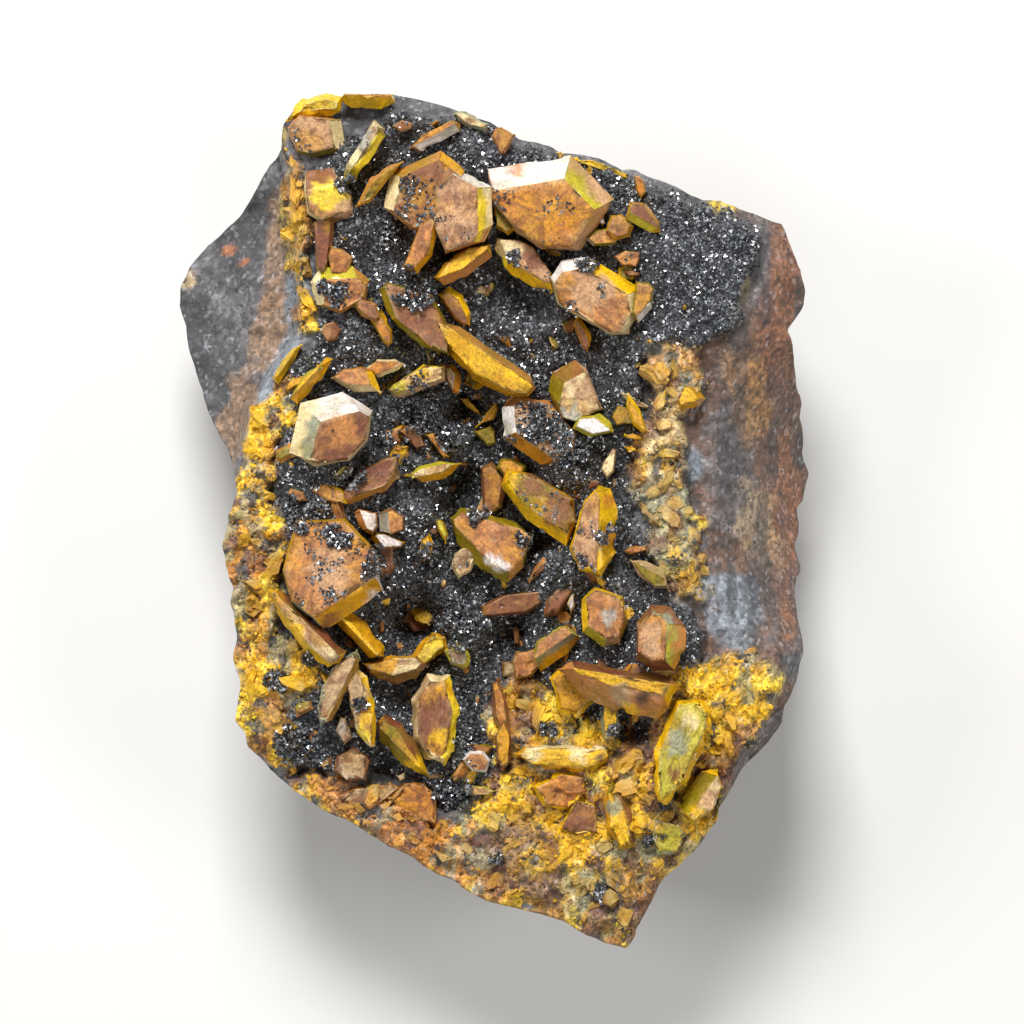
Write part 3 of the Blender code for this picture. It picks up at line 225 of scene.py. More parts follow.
# How rough each surface is, in millimetres: most are the size and the height of its waves.
texture = {
    "druseWave": (3.4, 0.7), "druseCrest": (5.2, 0.9), "druseSink": 0.5,
    "crumbWave": (1.2, 0.45), "crumbCrest": (3.4, 2.0), "crumbSink": 1.2,
    "rockWave": (7.0, 0.9), "rockCrest": (2.4, 0.35), "cleavage": (2.2, 0.7), "cleavageFrom": (19, 24),
    "border": (3.0, 1.1), "edge": (3.0, 0.5), "edgeRing": 20.0, "normalStep": 0.25,
    "sideCrest": (8.0, 2.4), "sideRidge": (3.0, 0.9), "sideWave": (1.8, 0.5), "sideSpared": 0.8,
}


# Waves of one of these surfaces: their height times rough noise or crests of their size.
def wave(form, spot, key, seed, *octaves):
    size, height = texture[key]
    return height * form(spot, size, seed, *octaves)


# x along a line given as (y, x) points.
def lineAt(line, y):
    rows = sorted(line)
    return np.interp(y, [row[0] for row in rows], [row[1] for row in rows])


# How far the outline is from the rock's heart, by angle, straight between its points.
def outlineReach(angle):
    points = np.array(rock["outline"]) - rock["heart"]
    angles = np.arctan2(points[:, 1], points[:, 0])
    order = np.argsort(angles)
    return np.interp(angle, angles[order], np.hypot(points[:, 0], points[:, 1])[order], period=2 * math.pi)


# How far a place is inside the outline, along the line from the heart through it.
def toOutline(x, y):
    across, up = x - rock["heart"][0], y - rock["heart"][1]
    return outlineReach(np.arctan2(up, across)) - np.hypot(across, up)


# Height of the rock's front: the relief's values weighed by exp(-d²/2r²), less ledge, right side and caves.
def rockHeight(x, y):
    column, row = np.meshgrid(rock["reliefX"], rock["reliefY"])
    total, weights = 0, 0
    for cx, cy, value in zip(column.ravel(), row.ravel(), np.ravel(rock["relief"])):
        weight = np.exp(-((x - cx) ** 2 + (y - cy) ** 2) / (2 * rock["reliefReach"] ** 2))
        total, weights = total + weight * value, weights + weight
    left = lineAt(rock["ledge"], y) - x
    right = np.clip(x - lineAt(rock["ridge"], y), 0, None)
    height = total / weights - rock["ledgeDrop"] * np.clip(left / rock["ledgeRun"], 0, 1)
    height = height - rock["wingSlope"] * np.clip(left, 0, None)
    height = height - lineAt(rock["ridgeSlope"], y) * right - rock["ridgeBend"] * right**2
    for cx, cy, radius, depth in rock["caves"]:
        height = height - depth * np.exp(-((x - cx) ** 2 + (y - cy) ** 2) / radius**2)
    return height


# Height of the druse over the rock, before its own grains.
def druseRise(x, y):
    rise = np.full(np.shape(x), druseThick)
    for cx, cy, radius, height in rock["lumps"]:
        rise = rise + height * np.exp(-((x - cx) ** 2 + (y - cy) ** 2) / radius**2)
    return rise


# How drusy a place is and how crumbled, each 0 to 1 with a ragged border, and how thick its crumbs lie.
def coverAt(x, y):
    ragged = wave(rough, stacked(x, y), "border", 11)
    crumbs = [smooth(-0.5, 0.7, insideBy(shape, x, y) + ragged) for shape, _ in crumbled.values()]
    broken = np.max(crumbs, axis=0)
    drusy = smooth(-0.7, 0.7, insideBy(hollow, x, y) + ragged) * (1 - broken)
    rise = np.max([cover * thick for cover, (_, thick) in zip(crumbs, crumbled.values())], axis=0)
    return drusy, broken, rise


# The right side's cleavage runs up the rock: 0 on the front, 1 on the side, and its stretched places.
def cleavageAt(x, y):
    return smooth(*texture["cleavageFrom"], x), stacked(x, 0.16 * y)


# The front's height with its druse and crumbs and the waves of each, less the grooves of the cleavage.
def frontHeight(x, y):
    drusy, broken, rise = coverAt(x, y)
    spot = stacked(x, y)
    bare = (1 - drusy) * (1 - broken)
    onDruse = wave(rough, spot, "druseWave", 21) + wave(crests, spot, "druseCrest", 25)
    onCrumbs = wave(crests, spot, "crumbCrest", 41) + wave(rough, spot, "crumbWave", 44, 3)
    onRock = wave(rough, spot, "rockWave", 31, 5) - wave(crests, spot, "rockCrest", 51)
    cloven, grooves = cleavageAt(x, y)
    height = rockHeight(x, y) + drusy * (druseRise(x, y) + onDruse - texture["druseSink"])
    height = height + rise + broken * (onCrumbs - texture["crumbSink"])
    return height + bare * (onRock - cloven * wave(crests, grooves, "cleavage", 55))


# Height of the ground that the crystals' own heights are counted from, as in the CAD.
def standingHeight(x, y):
    inside = insideBy(hollow, x, y) > 0
    return rockHeight(x, y) + inside * druseRise(x, y)


# Unit normals of the front, from its slope over a short step to each side.
def frontNormal(x, y):
    step = texture["normalStep"]
    slopeX = (frontHeight(x + step, y) - frontHeight(x - step, y)) / (2 * step)
    slopeY = (frontHeight(x, y + step) - frontHeight(x, y - step)) / (2 * step)
    normal = stacked(-slopeX, -slopeY, 1.0)
    return normal / np.linalg.norm(normal, axis=-1, keepdims=True)


# Patches of colour: x, y, half length, half width, angle, hue, strength. Later ones lie on top.
patches = [
    (30, 5, 8, 45, 0, "brownRock", 0.9), (24, -38, 14, 5, 55, "brownRock", 1.0),
    (-23.0, 27, 6.5, 1.5, 88, "blueRock", 1.0), (-25.4, 16.5, 6, 1.7, 75, "blueRock", 1.0),
    (-25.4, 30, 8.5, 1.3, 86, "umber", 0.8), (-26.6, 22, 4.2, 2.2, 70, "umber", 0.9),
    (-30.0, 12, 7.5, 2.0, 75, "umber", 0.8), (-36.4, 28.5, 1.5, 1.0, 0, "sand", 0.9),
    (-31, 31.7, 0.9, 0.6, 0, "rust", 1.0), (-29.2, 30.5, 1.0, 0.5, 40, "rust", 1.0),
    (29, 30, 2.6, 6, 0, "rock", 0.8), (27.5, 6, 3.0, 10, 0, "rock", 0.7),
    (33.5, 25, 2.5, 9, -5, "rust", 0.55), (34, -2, 2, 14, 0, "rust", 0.6),
    (29.5, 15, 2.2, 6.0, 10, "ochre", 0.55), (30.5, -1.5, 2.6, 5, 0, "sand", 0.5),
    (22.9, 6.6, 1.5, 1.9, 0, "blueRock", 1.0), (28.0, -9.5, 3.8, 5.2, 20, "blueRock", 0.95),
    (28.7, 27, 2.2, 0.7, 80, "cream", 0.9), (27.0, 23.3, 2.0, 0.8, 55, "cream", 0.9),
    (26.0, 36.3, 2.2, 1.2, -15, "lemon", 0.7),
]
crumbPatches = [
    (-28, 12, 3, 4, 0, "yellow", 0.7), (-28, 3, 2.6, 6, 0, "yellow", 0.6),
    (-28, -5, 3.0, 6, 0, "orange", 0.7), (-26.0, -7.2, 1.5, 2.0, 0, "lemon", 0.9),
    (-22.7, -17.4, 2.6, 3.0, 0, "yellow", 0.9), (-28.4, -16.6, 1.6, 2.4, 0, "yellow", 0.8),
    (-26, -22, 3, 3, 0, "ochre", 0.8), (-21.6, -25, 1.6, 1.2, 0, "yellow", 1.0),
    (20, 12, 4, 12, 0, "sand", 0.85), (20, 0, 4, 9, 0, "greyGreen", 0.8), (21, 18, 3, 2, 0, "ochre", 0.8),
    (18.6, 9, 1.5, 4.0, 0, "cream", 0.7), (20.6, 6, 1.2, 3.0, 0, "ochre", 0.7),
    (20.4, 0, 1.0, 3.0, 8, "cream", 0.6), (19, 8, 1.0, 2.0, 0, "yellow", 0.6),
    (21.6, -5, 1.4, 2.4, 10, "yellow", 0.7), (26, -20, 5, 6, 0, "yellow", 0.5),
    (-22, 34, 2, 9, 0, "ochre", 0.5), (-21, -31, 4, 2, -30, "yellow", 0.7),
    (-14, -33, 8, 3.6, -28, "tan", 0.9), (-6, -38, 7, 3.4, -25, "orange", 0.9),
    (4, -33, 6, 3.5, 0, "yellow", 0.5), (3, -22, 2.4, 4, 0, "orange", 0.6),
    (2, -38, 6, 3.0, -10, "greyGreen", 0.8), (9, -40, 6, 4.5, 0, "yellow", 0.85),
    (12, -44, 5, 2.5, -25, "greyGreen", 0.7), (14, -35, 6, 4, 0, "yellow", 0.9),
    (17, -42, 2.5, 4, -30, "brown", 0.7), (13, -43.5, 1.8, 2.4, 0, "druse", 0.9),
    (-4.2, -31.5, 2.6, 3.2, 0, "druse", 0.95), (16.5, -38, 3.0, 1.5, 0, "greyGreen", 0.8),
]


# Lays each patch, a soft ellipse with a ragged edge, over what is under it.
def painted(colour, x, y, places, seed):
    ragged = 0.45 * rough(stacked(x, y), 2.4, seed, 5)
    for px, py, halfLength, halfWidth, turn, name, strength in places:
        cosine, sine = headed(turn)
        along = ((x - px) * cosine + (y - py) * sine) / halfLength
        across = ((y - py) * cosine - (x - px) * sine) / halfWidth
        cover = strength * smooth(1.25, 0.75, np.hypot(along, across) + ragged)
        colour = colour + cover[..., None] * (hue[name] - colour)
    return colour


# Mixes two colours by a share for each point.
def mixed(first, second, share):
    return first + share[..., None] * (second - first)


# Colour of the crumbled crystals: a ragged medley of yellows, browns and greys, then its patches.
def crumbColour(x, y):
    spot = stacked(x, y)
    colour = mixed(hue["ochre"], hue["yellow"], smooth(0.35, 0.55, noise(spot, 3.0, 61)))
    colour = mixed(colour, hue["lemon"], 0.8 * smooth(0.55, 0.68, noise(spot, 1.4, 75)))
    colour = painted(colour, x, y, crumbPatches, 63)
    colour = mixed(colour, hue["greyGreen"], 0.7 * smooth(0.6, 0.75, noise(spot, 1.7, 65)))
    colour = mixed(colour, hue["darkRock"], 0.9 * smooth(0.66, 0.78, noise(spot, 1.1, 67)))
    return mixed(colour, hue["redBrown"], 0.7 * smooth(0.6, 0.72, noise(spot, 2.3, 69)))


# Colour of the front: rock with its patches, darker in its cleavage, druse in the hollow darkened below its
# own hue as painted shade between the grains, and crumbs.
def frontColour(x, y):
    colour = mixed(hue["rock"], hue["darkRock"], smooth(0.3, 0.7, noise(stacked(x, y), 6.0, 71)))
    colour = painted(colour, x, y, patches, 73)
    cloven, grooves = cleavageAt(x, y)
    colour = mixed(colour, hue["darkRock"], 0.6 * cloven * smooth(0.52, 0.72, noise(grooves, 1.3, 77)))
    drusy, broken, _ = coverAt(x, y)
    # The hollow's ground under the grains takes the druse's hue at 0.6: its own dark colour, darkened as
    # painted shade between the grains.
    colour = mixed(colour, 0.6 * hue["druse"], drusy)
    return mixed(colour, crumbColour(x, y), broken)


# A ring of points drawn in towards the rock's heart, seen from above.
def drawnIn(ring, inward):
    flat = rock["heart"] + inward * (ring[:, :2] - rock["heart"])
    return np.concatenate([flat, ring[:, 2:]], 1)


# One ring of the rock's side: its rim drawn in and lowered as the side's profile says, and worn back by
# crests that fade out at the rim and at the base.
def sideRing(rim, level, inward, part):
    ring = drawnIn(rim, inward) * (1, 1, part)
    out = ring[:, :2] - rock["heart"]
    out = out / np.linalg.norm(out, axis=1, keepdims=True)
    wear = wave(crests, ring, "sideCrest", 91) + wave(crests, ring, "sideRidge", 95)
    wear = np.maximum(wear + wave(rough, ring, "sideWave", 97) - texture["sideSpared"], 0)
    ring[:, :2] -= (wear * smooth(0, 0.12, level) * smooth(0, 0.2, part))[:, None] * out
    return ring


# The rock as one closed surface: a square grid s, t rounded to a disc and drawn out to the outline, then
# rings that follow the side's profile down and in, and a flat base closed at its middle.
def rockSurface():
    cells = rock["cells"]
    side = np.linspace(-1, 1, cells + 1)
    s, t = np.meshgrid(side, side, indexing="ij")
    across, up = s * np.sqrt(1 - t**2 / 2), t * np.sqrt(1 - s**2 / 2)
    share, heading = np.hypot(across, up), np.arctan2(up, across)
    around = texture["edgeRing"] * stacked(np.cos(heading), np.sin(heading))
    edge = outlineReach(heading) - np.abs(wave(rough, around, "edge", 81))
    x = rock["heart"][0] + share * edge * np.cos(heading)
    y = rock["heart"][1] + share * edge * np.sin(heading)
    front = stacked(x, y, frontHeight(x, y)).reshape(-1, 3)

    run = np.arange(cells)
    last = cells * (cells + 1)
    rim = np.concatenate([run * (cells + 1), last + run, last + cells - run * (cells + 1), cells - run])
    levels = np.linspace(0, 1, rock["sideRings"] + 1)
    knots = np.linspace(0, 1, len(rock["side"]))
    inward, part = (np.interp(levels, knots, column) for column in zip(*rock["side"]))
    rings = [sideRing(front[rim], *row) for row in zip(levels[1:], inward[1:], part[1:])]
    rings += [drawnIn(rings[-1], share) for share in np.linspace(1, 0, rock["baseRings"] + 1)[1:-1]]
    points = np.concatenate([front, *rings, [(*rock["heart"], 0.0)]])

    corner = (np.arange(cells)[:, None] * (cells + 1) + np.arange(cells)).ravel()
    a, b, c, d = corner, corner + cells + 1, corner + cells + 2, corner + 1
    triangles = [np.stack([a, b, c], 1), np.stack([a, c, d], 1)]
    upper = rim
    for level in range(len(rings)):
        lower = len(front) + level * len(rim) + np.arange(len(rim))
        triangles += joinedRings(upper, lower)
        upper = lower
    pole = np.full(len(rim), len(points) - 1)
    triangles.append(np.stack([upper, pole, np.roll(upper, -1)], 1))
    return points, np.concatenate(triangles), len(front)


# Triangles between two rings of as many points, where the second lies further along the surface.
def joinedRings(first, second):
    nextFirst, nextSecond = np.roll(first, -1), np.roll(second, -1)
    return [np.stack([first, second, nextSecond], 1), np.stack([first, nextSecond, nextFirst], 1)]


# One small shape for each place, turned at random: its points stretched, turned and scaled, then moved
# to the place. All of them share one list of facets.
def strewn(forms, facets, places, sizes, dice):
    points = np.einsum("nij,nkj->nki", turns(len(places), dice), forms) * sizes[:, None, None]
    points = points + places[:, None, :]
    triangles = facets[None] + forms.shape[1] * np.arange(len(places))[:, None, None]
    return points.reshape(-1, 3), triangles.reshape(-1, 3)


# Druse grains: three-sided double pyramids of five points and six facets.
def grains(places, radii, seed):
    dice = np.random.default_rng(seed)
    form = np.array([(1, 0, 0), (-0.5, 0.87, 0), (-0.5, -0.87, 0), (0, 0, 1), (0, 0, -1)], float)
    facets = np.array([(0, 1, 3), (1, 2, 3), (2, 0, 3), (1, 0, 4), (2, 1, 4), (0, 2, 4)])
    return strewn(form * dice.uniform(0.7, 1.25, (len(places), 1, 3)), facets, places, radii, dice)


# Crumbs: a point, two five-sided rings and a point, 20 facets, squashed and uneven.
def crumbShapes(places, sizes, seed):
    dice = np.random.default_rng(seed)
    angle = np.radians(72 * np.arange(5))
    form = [[r * np.cos(angle), r * np.sin(angle), h + 0 * angle] for r, h in ((0.95, 0.25), (0.85, -0.25))]
    form = np.concatenate([[(0, 0, 0.55)], *np.swapaxes(form, 1, 2), [(0, 0, -0.55)]])
    forms = form * dice.uniform(0.45, 1.4, (len(places), 1, 3))
    forms = forms * (1 + dice.uniform(-0.2, 0.2, (len(places), len(form), 1)))
    return strewn(forms, cappedRings(2, 5), places, sizes, dice)


# Random turns, as matrices from random unit quaternions.
def turns(count, dice):
    q = dice.normal(size=(count, 4))
    w, x, y, z = (q / np.linalg.norm(q, axis=1, keepdims=True)).T
    rows = [1 - 2 * (y * y + z * z), 2 * (x * y - z * w), 2 * (x * z + y * w),
            2 * (x * y + z * w), 1 - 2 * (x * x + z * z), 2 * (y * z - x * w),
            2 * (x * z - y * w), 2 * (y * z + x * w), 1 - 2 * (x * x + y * y)]
    return np.stack(rows, 1).reshape(-1, 3, 3)


# The crystals by CAD node. Each has its corners seen from above, anticlockwise, how far in from each side
# its flat face starts, its pose (drop from face to edge, lean, direction it leans to, height of the face's
# middle over the ground), the hues of its face and bevels, and what else sets it apart: hues of bevels
# that look to a compass direction, of their inner halves, and of spots (x, y, radius), dust, and wear.
# The hues by compass direction are partly the crystal's own colour and partly painted light: pale painted
# highlights on bevels turned to the top light, darker painted shade on bevels turned away.
def plate(corners, insets, pose, face, bevel, facingHuesAndPaintedLight=None, **more):
    return {"corners": corners, "insets": insets, "pose": pose, "face": face, "bevel": bevel,
            "facingHuesAndPaintedLight": facingHuesAndPaintedLight or {}, **more}


crystals = {
    "upper_left_crystals": [
        plate([(-24.0, 45.5), (-22.9, 42.6), (-20.2, 41.9), (-16.9, 42.7), (-17.6, 46.6), (-22.4, 47.1)],
              [0.3, 0.3, 0.8, 1.3, 0.3, 0.3], (1.2, 10, -80, 2.6), "pink", "tan",
              {-20: "cream", -90: "olive"}, dust=0.15),
        plate([(-24.0, 46.4), (-21.5, 46.6), (-17.8, 47.2), (-17.4, 49.2), (-19.4, 49.7), (-22.2, 49.0)],
              [0.8, 0.5, 0.4, 0.9, 0.9, 0.8], (1.4, 6, 90, 2.2), "lime", "yellow", wear=0.35),
    ],
    "top_yellow_bar": [
        plate([(-17.9, 48.8), (-16.6, 47.8), (-13.0, 47.6), (-11.3, 48.4), (-11.6, 49.5), (-17.4, 49.6)],
              [0.8, 1.4, 0.8, 0.3, 0.3, 0.3], (1.4, 8, -90, 2.5), "tan", "yellow",
              {-90: "yellow", 180: "gold"}),
    ],
    "pale_standing_crystal": [
        plate([(-17.5, 38.5), (-15.7, 39.3), (-12.3, 44.4), (-12.4, 45.3), (-13.8, 46.3), (-16.9, 41.4)],
              [0.6, 1.1, 0.4, 0.3, 0.25, 0.3], (1.6, 15, 150, 4.2), "cream", "cream", {-35: "lemon"},
              wear=0.22, spots=[(-14.9, 42.9, 0.7, "darkRock"), (-16.4, 39.9, 1.0, "olive"),
              (-15.4, 44.2, 1.3, "grey")]),
    ],
    "left_block_crystals": [
        plate([(-21.9, 38.0), (-21.5, 35.4), (-19.4, 34.1), (-16.0, 35.1), (-16.3, 37.9), (-18.4, 40.9),
               (-21.7, 40.4)],
              [0.3, 0.4, 0.7, 0.3, 0.9, 2.3, 0.3], (1.8, 8, -60, 3.2), "pink", "cream",
              {80: "brown", -70: "redBrown", 20: "cream"}, spots=[(-18.6, 37.6, 1.9, "lemon"),
              (-17.2, 35.9, 1.2, "pink")]),
        plate([(-20.9, 34.6), (-20.5, 29.0), (-19.3, 28.2), (-18.4, 30.6), (-18.0, 34.8), (-19.3, 36.0)],
              [0.4, 0.3, 0.5, 0.7, 0.4, 0.3], (1.4, 10, 10, 2.0), "redBrown", "brown"),
    ],
    "thin_olive_plate": [
        plate([(-15.9, 36.2), (-14.2, 36.7), (-12.3, 39.0), (-10.3, 41.5), (-12.2, 41.1), (-14.3, 39.5)],
              [0.3, 0.3, 0.3, 0.35, 0.5, 0.5], (0.8, 25, -50, 3.4), "olive", "gold", {130: "tan"}),
    ],
    "rim_white_edged_plate": [
        plate([(-9.8, 43.0), (-8.2, 42.6), (-3.9, 45.0), (-3.8, 45.9), (-4.8, 46.4), (-8.4, 44.6)],
              [0.3, 1.0, 0.3, 0.3, 0.2, 0.2], (0.9, 6, -60, 2.3), "tan", "ochre", {-60: "white"}),
    ],
    "rim_grey_plate": [
        plate([(-4.9, 46.9), (-2.9, 45.3), (-0.9, 44.9), (-0.6, 46.0), (-3.2, 47.4), (-4.5, 47.5)],
              [0.4, 0.5, 0.3, 0.4, 0.4, 0.3], (1.0, 6, -90, 3.1), "cream", "greyGreen", wear=0.15),
    ],
    "rim_tan_plate": [
        plate([(-0.4, 44.4), (0.6, 42.3), (1.3, 42.4), (2.6, 44.7), (1.0, 45.7), (0.2, 45.6)],
              [0.3, 0.2, 0.3, 0.3, 0.2, 0.3], (0.9, 5, -90, 1.9), "ochre", "tan"),
    ],
    "upper_hexagon_cluster": [
        plate([(-12.8, 36.2), (-9.6, 33.6), (-4.4, 33.0), (-3.2, 40.6), (-6.1, 42.8), (-12.0, 40.2)],
              [0.4, 0.3, 0.3, 1.0, 1.0, 1.3], (1.5, 8, 215, 3.8), "brown", "tan",
              {180: "cream", 110: "ochre", 30: "gold"}, dust=0.5, spots=[(-4.9, 41.8, 1.2, "gold"),
              (-12.2, 37.5, 1.4, "cream")]),
        plate([(-6.8, 38.6), (-7.0, 33.8), (-5.6, 30.8), (-1.0, 32.2), (-0.1, 34.2), (-0.2, 38.6),
               (-4.2, 40.8)],
              [0.2, 0.2, 0.2, 1.1, 1.7, 1.0, 0.3], (1.7, 8, 200, 5.6), "pink", "cream",
              {60: "white", -5: "cream", -60: "tan"}, dust=0.25, inner={0: "lemon"}),
        plate([(-7.0, 28.2), (-5.8, 27.2), (-3.2, 28.2), (-0.1, 30.6), (-0.4, 32.2), (-3.2, 31.9),
               (-5.6, 30.2)],
              [0.3, 1.0, 1.0, 0.4, 0.4, 0.5, 0.5], (1.8, 14, 130, 5.0), "yellow", "gold", {-50: "tan"}),
        plate([(-10.6, 29.2), (-8.8, 28.5), (-7.0, 30.6), (-6.2, 34.3), (-6.9, 35.3), (-8.6, 34.2)],
              [0.4, 0.6, 0.6, 0.4, 0.25, 0.25], (1.2, 8, 170, 5.4), "tan", "orange", {-20: "gold"},
              dust=0.3),
    ],
    "upper_right_hexagon": [
        plate([(-0.6, 37.0), (2.4, 33.4), (5.4, 31.4), (10.0, 31.2), (12.6, 35.0), (13.9, 37.2),
               (8.8, 42.3), (-0.8, 40.7)],
              [0.25, 0.25, 0.25, 0.3, 1.3, 2.6, 2.7, 0.4], (2.4, 8, -120, 5.0), "orange", "pink",
              {98: "white", 45: "pink"}, inner={45: "lime"}, dust=0.15, spots=[(2.4, 40.4, 1.0, "tan"),
              (5.5, 41.2, 0.8, "white")]),
        plate([(-0.1, 36.6), (0.2, 33.9), (1.6, 33.0), (2.6, 33.8), (2.4, 34.9), (1.2, 36.4)],
              [0.2, 0.3, 0.4, 0.5, 0.5, 0.3], (0.8, 20, 30, 3.4), "olive", "gold"),
    ],
    "rosette_crystals": [
        plate([(12.7, 33.4), (14.0, 32.4), (15.8, 32.8), (16.1, 34.1), (14.7, 35.5), (13.3, 35.3)],
              [0.25, 0.3, 0.4, 0.3, 0.3, 0.25], (1.1, 6, -60, 3.4), "ochre", "gold"),
        plate([(10.4, 32.6), (11.4, 31.7), (14.0, 31.9), (14.6, 32.8), (13.6, 34.0), (11.6, 33.9)],
              [0.3, 0.3, 0.2, 0.2, 0.3, 0.3], (0.8, 12, 70, 2.8), "ochre", "olive", {190: "white"}),
        plate([(15.5, 37.0), (15.0, 34.8), (18.0, 33.2), (19.2, 33.2), (19.1, 34.6), (17.4, 36.8)],
              [0.3, 0.9, 0.3, 0.3, 0.5, 0.3], (1.1, 8, 40, 2.8), "brown", "gold",
              {-140: "lime", 40: "ochre"}),
    ],
    "right_hexagon_pair": [
        plate([(6.4, 28.2), (7.2, 25.0), (13.4, 21.5), (15.6, 21.6), (17.2, 24.6), (16.9, 27.0),
               (10.8, 30.7), (7.7, 30.2)],
              [0.25, 0.25, 0.3, 1.1, 1.6, 1.5, 1.4, 0.8], (2.0, 8, -120, 5.2), "tan", "cream",
              {100: "white", 60: "yellow", 0: "cream", 150: "white", -60: "cream"}, dust=0.15,
              spots=[(10.5, 26.5, 2.2, "pink"), (12.5, 27.0, 1.6, "pink")]),
        plate([(15.6, 24.0), (16.6, 22.8), (18.2, 24.6), (18.5, 26.9), (17.9, 27.6), (16.2, 27.8)],
              [0.3, 0.7, 0.3, 0.3, 0.3, 0.3], (0.8, 5, 20, 2.4), "ochre", "olive", {-45: "white"}),
    ],
    "small_orange_lens": [
        plate([(9.0, 23.0), (10.0, 20.3), (10.8, 19.6), (11.3, 20.4), (11.2, 21.9), (9.7, 24.3)],
              [0.3, 0.3, 0.3, 0.4, 0.6, 0.3], (1.0, 12, 190, 2.8), "brown", "orange", {20: "gold"}),
    ],
    "middle_tan_plate": [
        plate([(0.0, 31.6), (1.2, 29.0), (4.6, 27.0), (6.9, 26.4), (6.8, 28.8), (4.6, 31.9), (2.8, 32.8),
               (0.2, 32.9)],
              [0.9, 1.2, 1.0, 0.3, 0.25, 0.25, 0.3, 0.5], (1.7, 8, 50, 4.4), "pink", "yellow",
              {-140: "yellow", 180: "lemon"}, dust=0.2, spots=[(1.6, 31.9, 1.5, "cream"),
              (4.6, 30.2, 1.2, "redBrown")]),
    ],
    "golden_bar_cluster": [
        plate([(-13.3, 26.8), (-12.0, 23.2), (-8.4, 20.2), (-5.1, 19.2), (-4.9, 22.1), (-7.0, 26.3),
               (-12.2, 27.8)],
              [0.8, 0.7, 0.3, 0.3, 0.3, 0.3, 0.3], (1.6, 18, 35, 4.2), "brown", "olive", {-150: "olive"}),
        plate([(-6.9, 23.5), (-6.1, 20.4), (-2.4, 16.4), (1.4, 14.5), (3.9, 14.3), (4.9, 15.5),
               (4.3, 17.0), (-3.9, 22.7)],
              [0.4, 0.6, 0.7, 0.5, 0.4, 0.4, 0.9, 0.4], (2.8, 13, -130, 6.9), "yellow", "gold",
              {-130: "gold", 50: "ochre"}, spots=[(0.6, 16.6, 1.0, "gold"), (-3.6, 20.4, 1.0, "gold")]),
    ],
    "golden_crescent": [
        plate([(-6.6, 26.3), (-4.7, 23.6), (-3.6, 22.6), (-2.7, 22.7), (-2.6, 24.4), (-3.5, 26.3),
               (-5.2, 27.4)],
              [0.3, 0.3, 0.3, 0.5, 0.8, 0.8, 0.5], (1.1, 8, 200, 3.0), "brown", "gold", {40: "yellow"}),
    ],
    "left_orange_pair": [
        plate([(-16.4, 25.2), (-15.2, 23.6), (-13.6, 23.0), (-12.9, 23.6), (-13.4, 25.2), (-15.2, 26.0)],
              [0.3, 0.3, 0.2, 0.3, 0.3, 0.3], (0.9, 12, -140, 2.8), "brown", "ochre"),
        plate([(-14.4, 23.6), (-13.0, 20.9), (-12.2, 20.1), (-11.6, 20.6), (-11.6, 22.4), (-12.9, 24.6)],
              [0.3, 0.4, 0.3, 0.3, 0.5, 0.3], (1.0, 12, 190, 3.0), "orange", "gold"),
    ],
    "left_olive_plates": [
        plate([(-21.2, 27.6), (-20.4, 25.0), (-17.6, 24.0), (-14.6, 25.6), (-14.2, 28.0), (-16.2, 29.6),
               (-20.0, 29.4)],
              [0.9, 0.3, 0.3, 0.3, 0.8, 1.5, 0.9], (1.4, 6, -90, 2.7), "tan", "ochre",
              {90: "lime", 180: "cream"}, dust=0.45),
        plate([(-19.2, 30.6), (-18.8, 28.4), (-16.8, 28.2), (-16.0, 30.6), (-17.4, 31.6), (-18.8, 31.9)],
              [0.2, 0.25, 0.2, 0.2, 0.3, 0.2], (0.8, 6, -90, 2.3), "orange", "ochre"),
    ],
    "edge_yellow_bar": [
        plate([(-25.7, 16.6), (-24.8, 15.9), (-22.7, 19.0), (-22.0, 20.6), (-23.2, 20.2), (-24.6, 18.6)],
              [0.3, 0.6, 0.4, 0.2, 0.3, 0.3], (0.9, 6, 150, 2.3), "lime", "yellow"),
    ],
    "golden_blade": [
        plate([(-23.5, 14.3), (-22.5, 13.5), (-19.9, 16.1), (-18.4, 18.9), (-19.3, 19.1), (-22.0, 17.0)],
              [0.3, 1.2, 0.9, 0.2, 0.5, 0.4], (1.5, 8, 150, 3.6), "yellow", "gold",
              {-45: "gold", 135: "lime"}),
    ],
    "tan_faceted_pair": [
        plate([(-18.9, 16.6), (-16.0, 14.9), (-12.8, 14.8), (-13.9, 17.6), (-15.2, 18.1), (-17.4, 17.8)],
              [0.4, 0.9, 0.8, 0.3, 0.3, 0.3], (1.5, 8, 120, 3.4), "tan", "orange",
              {-100: "cream", 20: "yellow"}),
        plate([(-15.2, 17.6), (-13.4, 16.6), (-10.9, 17.5), (-10.2, 18.3), (-11.2, 18.9), (-13.6, 18.9)],
              [0.3, 0.5, 0.4, 0.2, 0.3, 0.3], (1.0, 6, 90, 3.0), "orange", "cream", wear=0.1),
    ],
    "cream_crystal_pair": [
        plate([(-12.3, 15.3), (-11.6, 14.4), (-10.0, 14.6), (-5.6, 16.3), (-5.6, 18.2), (-8.2, 18.3),
               (-10.4, 17.1)],
              [0.3, 0.4, 0.5, 0.4, 0.3, 0.4, 0.4], (1.4, 8, -60, 4.0), "cream", "sand", {90: "lemon"},
              wear=0.22, dust=0.35, spots=[(-8.6, 17.2, 1.1, "yellow"), (-10.9, 15.6, 0.8, "lime")]),
        plate([(-6.2, 18.4), (-5.6, 16.4), (-4.8, 14.9), (-4.0, 14.9), (-3.7, 17.0), (-4.6, 18.4)],
              [0.3, 0.3, 0.25, 0.8, 0.6, 0.3], (1.2, 8, 180, 3.6), "greyGreen", "orange"),
    ],
    "left_hexagon": [
